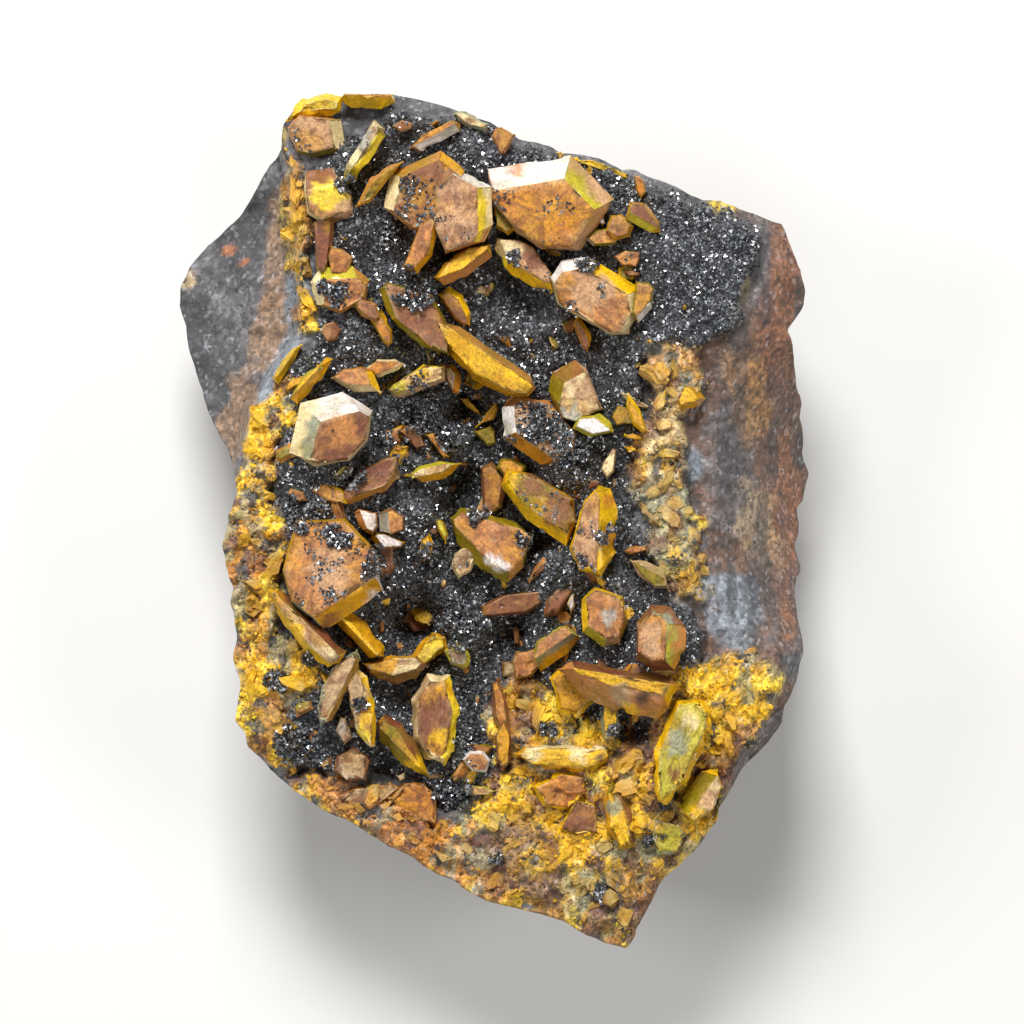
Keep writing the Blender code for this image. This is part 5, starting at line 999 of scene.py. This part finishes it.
# A bevelled plate as rings of its outline: from the middle of its face out to the face's edge, down the
# bevel to the outline, and in again below. Heights fall with the lean as its slope times the distance
# from the middle. Noise moves each point along its facet's normal and nibbles the edges.
def plateSurface(item, ground, seed):
    outer, inner = np.array(item["corners"], float), insetCorners(item["corners"], item["insets"])
    drop, lean, toward, up = item["pose"]
    depth = max(2 * drop, up + 1)
    wear, steps, rows = (item.get(key, plateCut[key]) for key in ("wear", "steps", "rows"))
    face = np.linspace(0.12, 0.985, 6 if rows > 6 else 3)
    bevel = 0.5 - 0.48 * np.cos(np.pi * np.linspace(0, 1, rows))
    lower = np.array([0.9, 0.5, 0.05])
    kind = np.concatenate([0 * face, 1 + 0 * bevel, [1], 2 + 0 * lower, [3, 3]]).astype(int)
    scale = np.concatenate([face, 1 + 0 * bevel, [1], 1 + 0 * lower, [0.7, 0.15]])
    out = np.concatenate([0 * face, bevel, [1], lower, [0, 0]])
    under = drop * (lower - 1) * (depth / drop - 1) - drop
    fall = np.concatenate([0 * face, -drop * bevel, [-drop], under, [-depth, -depth]])

    middle, count = inner.mean(0), len(outer) * steps
    ring = middle + scale[:, None, None] * (inner + out[:, None, None] * (outer - inner) - middle)
    part = (0.5 - 0.5 * np.cos(np.pi * np.arange(steps) / steps))[:, None]
    ring = ring[:, :, None] * (1 - part) + np.roll(ring, -1, 1)[:, :, None] * part
    ring = ring.reshape(len(kind), count, 2)
    slope = leaning(lean, toward)
    level = ground + up + (ring - outer.mean(0)) @ slope + fall[:, None]
    points = np.concatenate([ring, level[..., None]], -1)
    normal, width = facetNormals(outer, inner, slope, drop, depth)
    normal = np.repeat(normal, steps, axis=1)[kind]

    spot = points + 37 * seed
    isFace, isBevel = (kind == 0).astype(float)[:, None], (kind == 1)[:, None]
    nearEdge = np.exp(-((out - 1) ** 2) / 0.02) + np.exp(-((scale - out - 1) ** 2) / 0.015)
    biteSize, biteDepth = plateCut["bite"]
    bite = biteDepth * (1 + 4 * wear) * smooth(0.62, 0.8, noise(spot, biteSize, 101)) * nearEdge[:, None]
    stripeWidth, stripeDepth = plateCut["stripe"]
    stripe = out[:, None] * np.repeat(width, steps) / stripeWidth + 1.2 * noise(spot, 3, 103)
    stripe = stripeDepth * (np.mod(stripe, 1) - 0.5) * isBevel
    ledgeSize, ledgeHeight = plateCut["ledge"]
    ledges = isFace * ledgeHeight * np.floor(3.5 * noise(spot, ledgeSize, 105))
    move = wear * rough(spot, 0.9 + 2 * wear, 107) + stripe - bite + np.minimum(ledges - 0.1, 0.12)
    if wear > 0.1:
        pitSize, pitDepth = plateCut["pit"]
        move = move - pitDepth * wear * smooth(0.64, 0.76, noise(spot, pitSize, 109))
    points = points + move[..., None] * normal

    return {
        "points": np.concatenate([points[0].mean(0)[None], points.reshape(-1, 3), points[-1].mean(0)[None]]),
        "facing": np.concatenate([[(0, 0, 1)], normal.reshape(-1, 3), [(0, 0, -1)]]),
        "isFace": np.concatenate([[1.0], np.repeat(isFace, count), [0.0]]),
        "run": np.concatenate([[0.0], np.repeat(scale + out - 1, count), [0.0]]),
        "triangles": cappedRings(len(kind), count),
    }


# Triangles of rings that lie one after another from a pole at the start to a pole at the end.
def cappedRings(rings, count):
    turn = np.arange(count)
    ahead = np.roll(turn, -1)
    triangles = [np.stack([0 * turn, 1 + turn, 1 + ahead], 1)]
    for level in range(rings - 1):
        here = 1 + level * count
        triangles += joinedRings(here + turn, here + count + turn)
    last = 1 + (rings - 1) * count
    triangles.append(np.stack([last + turn, 1 + rings * count + 0 * turn, last + ahead], 1))
    return np.concatenate(triangles)


# Faces of these hues have little film on them.
clearFaces = ("yellow", "lemon", "lime", "gold", "olive", "white")


# A crystal's hues: face and bevel, a tint where a bevel looks to its compass direction (on some bevels
# their own colour, on others a painted highlight where they face the top light and painted shade where
# they face away), another hue on a bevel's inner half, stains, a paler film on the face, spots with ragged
# edges, and worn pale edges.
def plateColour(item, made, seed):
    points, isFace, run = made["points"], made["isFace"], made["run"]
    colour = mixed(hue[item["bevel"]], hue[item["face"]], isFace)
    flat = made["facing"][:, :2]
    flat = flat / np.maximum(np.linalg.norm(flat, axis=1, keepdims=True), 1e-9)
    spot = points + 11 * seed
    inner = smooth(0.55, 0.35, run + 0.3 * rough(spot, 1.0, 117, 2))
    for facingHuesAndPaintedLight, share in ((item["facingHuesAndPaintedLight"], 1), (item.get("inner", {}), inner)):
        # Bevels facing a listed compass direction take its hue: on some it is the crystal's own colour, on
        # others a painted highlight where they face the top light and painted shade where they face away.
        for direction, name in facingHuesAndPaintedLight.items():
            looks = flat @ headed(direction)
            colour = mixed(colour, hue[name], smooth(0.74, 0.86, looks) * (1 - isFace) * share)
    film = isFace * (0.25 if item["face"] in clearFaces else 1)
    colour = mixed(colour, hue["redBrown"], (0.08 + 0.28 * film) * smooth(0.45, 0.75, noise(spot, 2.4, 111)))
    colour = mixed(colour, hue["ochre"], (0.16 + 0.2 * film) * smooth(0.5, 0.8, noise(spot, 1.2, 113)))
    colour = mixed(colour, hue["pink"], 0.22 * film * smooth(0.5, 0.7, noise(spot, 1.7, 119)))
    colour = mixed(colour, hue["gold"], 0.45 * isFace * smooth(0.55, 0.7, noise(spot, 3.1, 125)))
    colour = mixed(colour, hue["redBrown"], 0.6 * film * smooth(0.52, 0.64, noise(spot, 0.6, 127)))
    colour = mixed(colour, hue["olive"], 0.35 * (1 - isFace) * smooth(0.5, 0.7, noise(spot, 1.9, 129)))
    for x, y, radius, name in item.get("spots", []):
        near = np.hypot(points[:, 0] - x, points[:, 1] - y) / radius + 0.5 * rough(spot, 0.9, 121, 3)
        colour = mixed(colour, hue[name], 0.85 * smooth(1.15, 0.75, near))
    edge = np.exp(-(((run - 0.02) / 0.07) ** 2)) * smooth(0.4, 0.6, noise(spot, 1.5, 123))
    colour = mixed(colour, hue["cream"], 0.35 * edge)
    return colour * (0.84 + 0.42 * noise(spot, 0.7, 115))[:, None]


# Places for druse grains on a crystal's face: in clusters where the noise is low, more with more dust.
def dustOn(item, ground, seed):
    inner = insetCorners(item["corners"], item["insets"])
    _, lean, toward, up = item["pose"]
    low, high = inner.min(0), inner.max(0)
    dice = np.random.default_rng(900 + seed)
    flat = dice.uniform(low, high, (int(24 * (high - low).prod()), 2))
    keep = insideBy(inner, flat[:, 0], flat[:, 1]) > 0.1
    cluster = noise(stacked(flat[:, 0], flat[:, 1]) + 13 * seed, 1.8, 121) + 0.3 * dice.random(len(flat))
    keep &= (cluster < 0.25 + 0.7 * item["dust"]) & (dice.random(len(flat)) < 0.2 + 0.9 * item["dust"])
    level = ground + up - 0.06 + (flat - np.mean(item["corners"], axis=0)) @ leaning(lean, toward)
    return np.concatenate([flat, level[:, None]], 1)[keep]


# A broken plate about a place: five to seven ragged corners, narrow bevels, any lean.
def brokenPlate(x, y, reach, dice, **looks):
    count = int(dice.integers(5, 8))
    angle = 2 * math.pi * (np.arange(count) + dice.uniform(-0.3, 0.3, count)) / count
    turn, long = dice.uniform(0, math.pi), dice.uniform(1.0, 1.9)
    along, across = long * reach * np.cos(angle), reach * np.sin(angle) / math.sqrt(long)
    corners = np.stack([x + along * math.cos(turn) - across * math.sin(turn),
                        y + along * math.sin(turn) + across * math.cos(turn)], 1)
    insets = reach * dice.uniform(0.05, 0.4, count)
    drop, lean = reach * dice.uniform(0.4, 0.8), dice.uniform(5, 38)
    pose = (drop, lean, dice.uniform(0, 360), reach * dice.uniform(0.1, 0.6))
    return {"corners": corners, "insets": insets, "pose": pose, "facingHuesAndPaintedLight": {}, **looks}


# Several plates as the parts of one piece: points, triangles, colours and face shares. Their grounds are
# the heights that their poses count up from.
def gathered(items, grounds, seed):
    parts = {"points": [], "triangles": [], "tone": [], "face": []}
    start = 0
    for k, (item, ground) in enumerate(zip(items, grounds)):
        made = plateSurface(item, ground, seed + k)
        parts["points"].append(made["points"])
        parts["triangles"].append(made["triangles"] + start)
        parts["tone"].append(plateColour(item, made, seed + k))
        parts["face"].append(made["isFace"])
        start += len(made["points"])
    return {key: np.concatenate(value) for key, value in parts.items()}


# Heights of the ground under the middles of plates.
def groundsOf(items, height):
    middles = np.array([np.mean(item["corners"], axis=0) for item in items])
    return height(middles[:, 0], middles[:, 1])


# Sets a node's inputs, or links those whose value is another node's output.
def setInputs(tree, node, inputs):
    for key, value in inputs.items():
        if isinstance(value, bpy.types.NodeSocket):
            tree.links.new(value, node.inputs[key])
        else:
            node.inputs[key].default_value = value


# Adds a shader node of a kind, with its settings and its inputs.
def addNode(tree, kind, inputs=None, **settings):
    made = tree.nodes.new("ShaderNode" + kind)
    for key, value in settings.items():
        setattr(made, key, value)
    setInputs(tree, made, inputs or {})
    return made


# A material with one Principled shader, and its tree and shader to build on.
def addMaterial(name, **sockets):
    material = bpy.data.materials.new(name)
    material.use_nodes = True
    shader = material.node_tree.nodes["Principled BSDF"]
    setInputs(material.node_tree, shader, {key.replace("_", " "): value for key, value in sockets.items()})
    return material, material.node_tree, shader


# Scale of a pattern whose features are some millimetres wide.
def scaleOf(size):
    return 1 / (size * mm)


# Settings of a range node, from one pair of values to another.
def between(low, high, toLow, toHigh):
    return {"From Min": low, "From Max": high, "To Min": toLow, "To Max": toHigh}


# Sizes of the rock's grains, clouds and relief in millimetres, how far its brightest grains are painted
# towards the pale highlight hue (a painted highlight), and its roughness between grains.
oreLook = {"grain": 0.45, "cloud": 0.9, "relief": 0.12, "paintedFlash": 0.35, "roughness": (0.78, 0.3)}


# Broken manganese ore rock: a dull granular fracture of dark grains; the brightest few are painted pale as
# a painted highlight in the base colour, and are glossier.
def oreRockMaterial():
    material, tree, shader = addMaterial("broken_manganese_ore", IOR=1.9, Metallic=0.0)
    place = addNode(tree, "TexCoord").outputs["Object"]
    tone = addNode(tree, "Attribute", attribute_name="tone").outputs["Color"]
    grain = addNode(tree, "TexVoronoi", {"Vector": place, "Scale": scaleOf(oreLook["grain"])}, feature="F1")
    grain = grain.outputs["Color"]
    fine = addNode(tree, "TexNoise", {"Vector": place, "Scale": scaleOf(oreLook["cloud"]), "Detail": 6.0,
                                      "Roughness": 0.7})
    shade = addNode(tree, "MapRange", {"Value": grain, **between(0, 1, 0.25, 1.8)})
    cloud = addNode(tree, "MapRange", {"Value": fine.outputs["Fac"], **between(0.3, 0.7, 0.4, 1.6)})
    both = addNode(tree, "Math", {0: shade.outputs[0], 1: cloud.outputs[0]}, operation="MULTIPLY").outputs[0]
    colour = addNode(tree, "VectorMath", {0: tone, "Scale": both}, operation="SCALE")
    # The brightest grains are painted towards the pale highlight hue: a painted highlight in the base colour.
    paintedFlash = addNode(tree, "MapRange", {"Value": grain, **between(0.8, 0.9, 0, oreLook["paintedFlash"])})
    lit = addNode(tree, "Mix", {"Factor": paintedFlash.outputs[0], "A": colour.outputs[0], "B": (*hue["paintedGlint"], 1)},
                  data_type="RGBA")
    gloss = addNode(tree, "MapRange", {"Value": grain, **between(0.6, 0.95, *oreLook["roughness"])})
    bump = addNode(tree, "Bump", {"Height": both, "Strength": 0.6, "Distance": oreLook["relief"] * mm})
    setInputs(tree, shader, {"Base Color": lit.outputs["Result"], "Roughness": gloss.outputs[0],
                             "Normal": bump.outputs[0]})
    return material


druseLook = {"film": 1.5, "roughness": (0.16, 0.42)}


# Black druse, grown as tiny free facets: near-black with a submetallic lustre that catches the light; its
# palest grains are painted highlights carried in the tone attribute.
def druseMaterial():
    material, tree, shader = addMaterial("black_druse_facets", IOR=2.3, Metallic=0.0)
    tone = addNode(tree, "Attribute", attribute_name="tone").outputs["Color"]
    place = addNode(tree, "TexCoord").outputs["Object"]
    film = addNode(tree, "TexNoise", {"Vector": place, "Scale": scaleOf(druseLook["film"]), "Detail": 3.0})
    gloss = between(0.35, 0.7, *druseLook["roughness"])
    gloss = addNode(tree, "MapRange", {"Value": film.outputs["Fac"], **gloss})
    setInputs(tree, shader, {"Base Color": tone, "Roughness": gloss.outputs[0]})
    return material


crystalLook = {"speck": 0.35, "veil": 1.8, "clay": 0.26, "relief": 0.12, "roughness": (0.28, 0.62)}


# Sturmanite, grown with flat faces: waxy to glassy, smooth on its bevels, and matt with stains and
# pits where a film of iron clay covers the broad faces.
def sturmaniteMaterial():
    material, tree, shader = addMaterial("sturmanite_crystal", IOR=1.5, Metallic=0.0, Subsurface_Weight=0.12,
                                         Subsurface_Radius=(1.0, 0.6, 0.2), Subsurface_Scale=0.6 * mm)
    tone = addNode(tree, "Attribute", attribute_name="tone").outputs["Color"]
    face = addNode(tree, "Attribute", attribute_name="face").outputs["Fac"]
    place = addNode(tree, "TexCoord").outputs["Object"]
    speck = addNode(tree, "TexNoise", {"Vector": place, "Scale": scaleOf(crystalLook["speck"]), "Detail": 5.0,
                                       "Roughness": 0.65}).outputs["Fac"]
    veil = addNode(tree, "TexNoise", {"Vector": place, "Scale": scaleOf(crystalLook["veil"]), "Detail": 4.0})
    vary = addNode(tree, "MapRange", {"Value": speck, **between(0.3, 0.7, 0.62, 1.28)})
    clay = addNode(tree, "TexVoronoi", {"Vector": place, "Scale": scaleOf(crystalLook["clay"])}, feature="F1")
    fleck = addNode(tree, "MapRange", {"Value": clay.outputs["Color"], **between(0, 1, 0.62, 1.3)})
    onFace = addNode(tree, "Mix", {"Factor": face, "A": 1.0, "B": fleck.outputs[0]}, data_type="FLOAT")
    both = addNode(tree, "Math", {0: vary.outputs[0], 1: onFace.outputs["Result"]}, operation="MULTIPLY")
    base = addNode(tree, "VectorMath", {0: tone, "Scale": both.outputs[0]}, operation="SCALE")
    dot = addNode(tree, "MapRange", {"Value": speck, **between(0.58, 0.66, 0, 0.8)})
    dotOnFace = addNode(tree, "Math", {0: dot.outputs[0], 1: face}, operation="MULTIPLY")
    stained = addNode(tree, "Mix", {"Factor": dotOnFace.outputs[0], "A": base.outputs[0],
                                    "B": (*hue["redBrown"], 1)}, data_type="RGBA")
    matt = addNode(tree, "MapRange", {"Value": face, **between(0, 1, *crystalLook["roughness"])})
    haze = addNode(tree, "MapRange", {"Value": veil.outputs["Fac"], **between(0.35, 0.65, -0.08, 0.14)})
    gloss = addNode(tree, "Math", {0: matt.outputs[0], 1: haze.outputs[0]}, operation="ADD")
    depth = addNode(tree, "MapRange", {"Value": face, **between(0, 1, 0.2, 0.8)})
    bump = addNode(tree, "Bump", {"Height": speck, "Strength": depth.outputs[0],
                                  "Distance": crystalLook["relief"] * mm})
    setInputs(tree, shader, {"Base Color": stained.outputs["Result"], "Roughness": gloss.outputs[0],
                             "Normal": bump.outputs[0]})
    return material


crumbLook = {"speck": 0.3, "relief": 0.15, "roughness": (0.5, 0.8)}


# Crumbled sturmanite: powdery and dull all over, finely grained, with no flat face left.
def crumblyMaterial():
    material, tree, shader = addMaterial("crumbled_sturmanite", IOR=1.5, Metallic=0.0)
    tone = addNode(tree, "Attribute", attribute_name="tone").outputs["Color"]
    place = addNode(tree, "TexCoord").outputs["Object"]
    speck = addNode(tree, "TexNoise", {"Vector": place, "Scale": scaleOf(crumbLook["speck"]), "Detail": 5.0,
                                       "Roughness": 0.7}).outputs["Fac"]
    vary = addNode(tree, "MapRange", {"Value": speck, **between(0.3, 0.7, 0.62, 1.3)})
    base = addNode(tree, "VectorMath", {0: tone, "Scale": vary.outputs[0]}, operation="SCALE")
    gloss = addNode(tree, "MapRange", {"Value": speck, **between(0.35, 0.65, *crumbLook["roughness"])})
    bump = addNode(tree, "Bump", {"Height": speck, "Strength": 0.6, "Distance": crumbLook["relief"] * mm})
    setInputs(tree, shader, {"Base Color": base.outputs[0], "Roughness": gloss.outputs[0],
                             "Normal": bump.outputs[0]})
    return material


oreRock = oreRockMaterial()
blackDruse = druseMaterial()
sturmanite = sturmaniteMaterial()
crumbly = crumblyMaterial()

# The rock: brown and rusty below, as the patches say in front.
rockPoints, rockTriangles, frontCount = rockSurface()
front, below = rockPoints[:frontCount], rockPoints[frontCount:]
belowTone = mixed(hue["brownRock"], hue["rock"], smooth(0.35, 0.65, noise(below, 9.0, 131)))
belowTone = mixed(belowTone, hue["rust"], 0.6 * smooth(0.55, 0.75, noise(below, 5.0, 133)))
rockTone = np.concatenate([frontColour(front[:, 0], front[:, 1]), belowTone])
rockPiece = addPiece("broken_rock", rockPoints, rockTriangles, oreRock, True, tone=rockTone)
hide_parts("matrix_rock")
print("rock", len(rockTriangles))


# A piece of sturmanite from gathered plates.
def addCrystals(name, made):
    piece = addPiece(name, made["points"], made["triangles"], sturmanite, True, tone=made["tone"],
                     face=made["face"])
    return piece


# The crystals, and the places where druse dusts them.
dusted = []
for index, (node, items) in enumerate([*crystals.items(), ("chips", chips)]):
    grounds = groundsOf(items, standingHeight)
    piece = addCrystals(f"worn_{node}", gathered(items, grounds, 7 * index))
    if node in crystals:
        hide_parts(node)
    for k, (item, ground) in enumerate(zip(items, grounds)):
        if "dust" in item:
            dusted.append(dustOn(item, ground, 7 * index + k))
print("crystals", len(crystals))

# The druse: grains on a square millimetre of the hollow and of a clot, their radii, and how far their
# middles stand off the ground.
druse = {"perSquare": 18.0, "clotPerSquare": 26.0, "radius": (0.13, 0.32), "rise": 0.04}

# Where the druse climbs over crystals and crumbs: x, y, radius, height.
clots = [
    (-9.2, 26.9, 2.7, 1.0), (-8.7, 13.2, 3.0, 1.2), (-4.5, 10.2, 2.3, 0.9), (4.9, 11.5, 2.4, 0.8),
    (9.4, 8.0, 2.6, 1.0), (4.2, -1.8, 1.7, 0.7), (8.6, -5.4, 2.3, 0.8), (-21.4, 1.4, 2.8, 0.9),
    (-13.4, -4.4, 2.7, 1.1), (-18.3, -1.4, 2.2, 0.5), (-7.0, -4.8, 2.6, 0.9), (-2.0, 0.6, 1.7, 0.6),
    (-18.6, 27.0, 1.7, 0.5), (-3.3, -12.5, 3.1, 1.4), (-4.8, -31.2, 2.4, 0.9), (-25.2, -18.4, 1.6, 0.6),
    (-22.8, -25.6, 2.9, 0.8), (12.6, -42.6, 1.6, 0.5), (-3.0, -24.2, 1.9, 0.8), (14.2, -24.3, 1.3, 0.5),
    (-12.0, 33.0, 2.4, 0.8), (13.0, -1.2, 1.4, 0.5), (-16.4, 5.6, 1.8, 0.6), (19.6, -32.6, 1.1, 0.4),
    (5.8, -24.0, 1.5, 0.5), (18.4, -36.4, 1.3, 0.5), (9.6, -24.0, 1.2, 0.4), (0.4, -38.6, 1.1, 0.3),
    (-17.0, 38.8, 1.3, 0.4), (10.6, 30.2, 1.5, 0.4), (-11.6, 8.6, 2.2, 0.8), (1.0, 9.6, 1.6, 0.6),
    (-15.4, -21.0, 1.0, 0.4), (2.6, 30.6, 1.2, 0.4), (-20.8, -15.6, 1.2, 0.4), (6.0, -12.4, 1.3, 0.5),
]


# Random places over the front, 0.7 mm or more inside the outline, kept where their share beats the dice.
def scattered(count, share, seed, box=(-38, -50, 38, 50)):
    dice = np.random.default_rng(seed)
    x, y = dice.uniform(box[0], box[2], count), dice.uniform(box[1], box[3], count)
    keep = (dice.random(count) < share(x, y)) & (toOutline(x, y) > 0.7)
    return x[keep], y[keep]


# Height of whatever lies on top: the front, or a crystal's flat face with its bevels as a straight fall
# from the face's mean inset to the edge.
def topHeight(x, y):
    height = frontHeight(x, y)
    for item in itertools.chain(*crystals.values(), chips):
        drop, lean, toward, up = item["pose"]
        middle = np.mean(item["corners"], axis=0)
        inside = insideBy(item["corners"], x, y)
        level = standingHeight(*middle) + up + (stacked(x, y)[:, :2] - middle) @ leaning(lean, toward)
        level = level - drop * np.clip(1 - inside / np.mean(item["insets"]), 0, 1)
        height = np.where(inside > 0, np.maximum(height, level), height)
    return height


# Places in the clots: over each disc, as a dome with a ragged rim that lies on whatever is under it.
def clotPlaces():
    dice = np.random.default_rng(207)
    found = []
    for cx, cy, radius, rise in clots:
        away = radius * np.sqrt(dice.random(int(druse["clotPerSquare"] * math.pi * radius**2)))
        turn = dice.uniform(0, 2 * math.pi, len(away))
        x, y = cx + away * np.cos(turn), cy + away * np.sin(turn)
        spot = stacked(x, y)
        depth = 1 - away / radius + 0.8 * rough(spot, 1.7, 209)
        dome = rise * smooth(0.0, 0.7, depth) * (0.7 + 0.6 * noise(spot, 1.1, 211))
        dome = dome * dice.choice([0.55, 1.0], len(x))
        found.append(stacked(x, y, topHeight(x, y) + dome)[depth > 0.2])
    return np.concatenate(found)


x, y = scattered(int(druse["perSquare"] * 76 * 100), lambda x, y: coverAt(x, y)[0], 201)
places = stacked(x, y, frontHeight(x, y)) + druse["rise"] * frontNormal(x, y)
places = np.concatenate([places, *dusted, clotPlaces()])
dice = np.random.default_rng(203)
radii = dice.uniform(*druse["radius"], len(places))
# A few grains are painted pale towards the highlight hue: painted highlights standing in for reflections of
# the lights.
paintedGlintShare = 0.85 * dice.random(len(places)) ** 6
parts = np.digitize(places[:, 1], np.quantile(places[:, 1], (0.33, 0.67)))
for part, name in enumerate(("lower_druse", "middle_druse", "upper_druse")):
    mine = parts == part
    points, triangles = grains(places[mine], radii[mine], 205 + part)
    tone = mixed(0.7 * hue["druse"], hue["paintedGlint"], paintedGlintShare[mine])
    tone = np.repeat(tone, len(points) // len(tone), axis=0)
    piece = addPiece(name, points, triangles, blackDruse, tone=tone)
    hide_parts("black_druse_crust")
    print(name, len(triangles))

# Bits of crystal that lie about in the hollow.
bits = {
    "tries": 420, "reach": (0.45, 1.9),
    "hues": ("tan", "brown", "orange", "gold", "olive", "yellow", "redBrown", "cream"),
}


# 1 where the druse is thick and away from the hollow's top and right, where the photograph shows no bits.
def bitShare(x, y):
    return (coverAt(x, y)[0] > 0.8) * (x < 17) * (y < 33) * (x > -25)


# A random value between two others, nearer to the first with a higher power.
def mostlySmall(limits, dice, power, *count):
    return limits[0] + (limits[1] - limits[0]) * dice.random(*count) ** power


dice = np.random.default_rng(403)
items = []
for x, y in zip(*scattered(bits["tries"], bitShare, 401)):
    face, bevel = dice.choice(bits["hues"], 2)
    reach = mostlySmall(bits["reach"], dice, 2)
    items.append(brokenPlate(x, y, reach, dice, face=face, bevel=bevel, wear=0.07, steps=4, rows=5))
addCrystals("hollow_bits", gathered(items, groundsOf(items, frontHeight), 4000))
print("bits", len(items))

# The crumbled stretches: crumbs on a square millimetre, their sizes, and the broken plates among them.
crumb = {
    "perSquare": 8.5, "size": (0.12, 0.42), "reach": (0.4, 1.6),
    "plates": {"lower": 120, "left": 34, "right": 40, "corner": 22, "ledge": 8},
    "nodes": {"lower": "lower_crumbled_mass", "left": "left_rim_crumbs", "right": "granular_cross_ridge"},
}


# Broken plates at places of a crumbled stretch that are well inside it and inside the rock's outline.
def platesAmong(x, y, shape, count, dice):
    room = toOutline(x, y)
    inside = np.flatnonzero((insideBy(shape, x, y) > 0.5) & (room > 1.8))
    items = []
    for k in inside[:: max(1, len(inside) // count)]:
        reach = min(mostlySmall(crumb["reach"], dice, 1.6), 0.5 * room[k])
        items.append(brokenPlate(x[k], y[k], reach, dice, face="yellow", bevel="gold",
                                 wear=dice.uniform(0.12, 0.3), steps=4, rows=4))
    return items


for part, (name, (shape, _)) in enumerate(crumbled.items()):
    edges = np.array(shape)
    box = (*edges.min(0), *edges.max(0))
    area = (box[2] - box[0]) * (box[3] - box[1])

    # 1 inside the stretch and 0 outside, with a ragged border.
    def crumbShare(x, y):
        return smooth(-0.6, 0.5, insideBy(shape, x, y) + rough(stacked(x, y), 3.0, 11))

    x, y = scattered(int(crumb["perSquare"] * area), crumbShare, 301 + part, box)
    dice = np.random.default_rng(311 + part)
    sizes = mostlySmall(crumb["size"], dice, 2.5, len(x))
    places = stacked(x, y, frontHeight(x, y)) - 0.05 * frontNormal(x, y)
    points, triangles = crumbShapes(places, sizes, 321 + part)
    tone = crumbColour(x + dice.normal(0, 0.5, len(x)), y + dice.normal(0, 0.5, len(x)))
    tone = tone * dice.uniform(0.75, 1.25, len(x))[:, None]
    tone = np.repeat(tone, len(points) // len(tone), axis=0)

    items = platesAmong(x, y, shape, crumb["plates"][name], dice)
    made = gathered(items, groundsOf(items, frontHeight), 500 * part)
    over = made["points"][:, 0], made["points"][:, 1]
    plateTone = mixed(crumbColour(*over), made["tone"], 0.25 + 0.35 * noise(stacked(*over), 4.0, 331))
    points = np.concatenate([made["points"], points])
    triangles = np.concatenate([made["triangles"], triangles + len(made["points"])])
    piece = addPiece(f"{name}_crumbs", points, triangles, crumbly, tone=np.concatenate([plateTone, tone]))
    if name in crumb["nodes"]:
        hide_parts(crumb["nodes"][name])
    print(name, "crumbs", len(triangles))

# The pale floor, soft studio light, and a camera that looks straight down as the photograph does. Lights
# are place, width and power, in millimetres and watts; the middle is the photograph's pixel above 0, 0.
studio = {
    "floor": ("#D9D8D5", "#DEDDDA"), "floorReach": 2500.0, "world": 0.09,
    "pixels": 1024, "pixel": 0.115, "middle": (494, 523), "focus": 28.0, "lens": 200.0, "sensor": 36.0,
    "lights": [((-60, 440, 480), 220, 5.4), ((-480, 60, 420), 240, 1.5), ((480, -60, 420), 240, 1.2),
               ((0, -420, 380), 300, 0.6)],
}
floorMaterial, floorTree, floorShader = addMaterial("pale_matt_floor", Roughness=0.85)
dustFilm = addNode(floorTree, "TexNoise", {"Scale": 40.0, "Detail": 2.0})
darker, paler = ((*linear(code), 1) for code in studio["floor"])
floorTone = addNode(floorTree, "Mix", {"Factor": dustFilm.outputs["Fac"], "A": darker, "B": paler},
                    data_type="RGBA")
setInputs(floorTree, floorShader, {"Base Color": floorTone.outputs["Result"]})
floorPoints = studio["floorReach"] * np.array([(-1, -1, 0), (1, -1, 0), (1, 1, 0), (-1, 1, 0)])
floor = addPiece("floor", floorPoints, np.array([(0, 1, 2), (0, 2, 3)]), floorMaterial)

for k, (place, size, power) in enumerate(studio["lights"]):
    lamp = bpy.data.lights.new(f"softbox_{k}", "AREA")
    lamp.size, lamp.energy = size * mm, power
    holder = bpy.data.objects.new(f"softbox_{k}", lamp)
    bpy.context.scene.collection.objects.link(holder)
    holder.location = [value * mm for value in place]
    aim = holder.location.copy()
    aim.z -= studio["focus"] * mm
    holder.rotation_euler = aim.to_track_quat("Z", "Y").to_euler()

world = bpy.data.worlds.new("soft_room")
world.use_nodes = True
background = world.node_tree.nodes["Background"]
setInputs(world.node_tree, background, {"Strength": studio["world"], "Color": (1, 1, 1, 1)})
bpy.context.scene.world = world
bpy.context.scene.view_settings.view_transform = "Standard"

lens = bpy.data.cameras.new("camera")
lens.lens, lens.sensor_width = studio["lens"], studio["sensor"]
camera = bpy.data.objects.new("camera", lens)
bpy.context.scene.collection.objects.link(camera)
half = studio["pixels"] / 2
across, up = half - studio["middle"][0], studio["middle"][1] - half
away = studio["focus"] + studio["pixels"] * studio["pixel"] * studio["lens"] / studio["sensor"]
camera.location = [across * studio["pixel"] * mm, up * studio["pixel"] * mm, away * mm]
bpy.context.scene.camera = camera
print("studio")
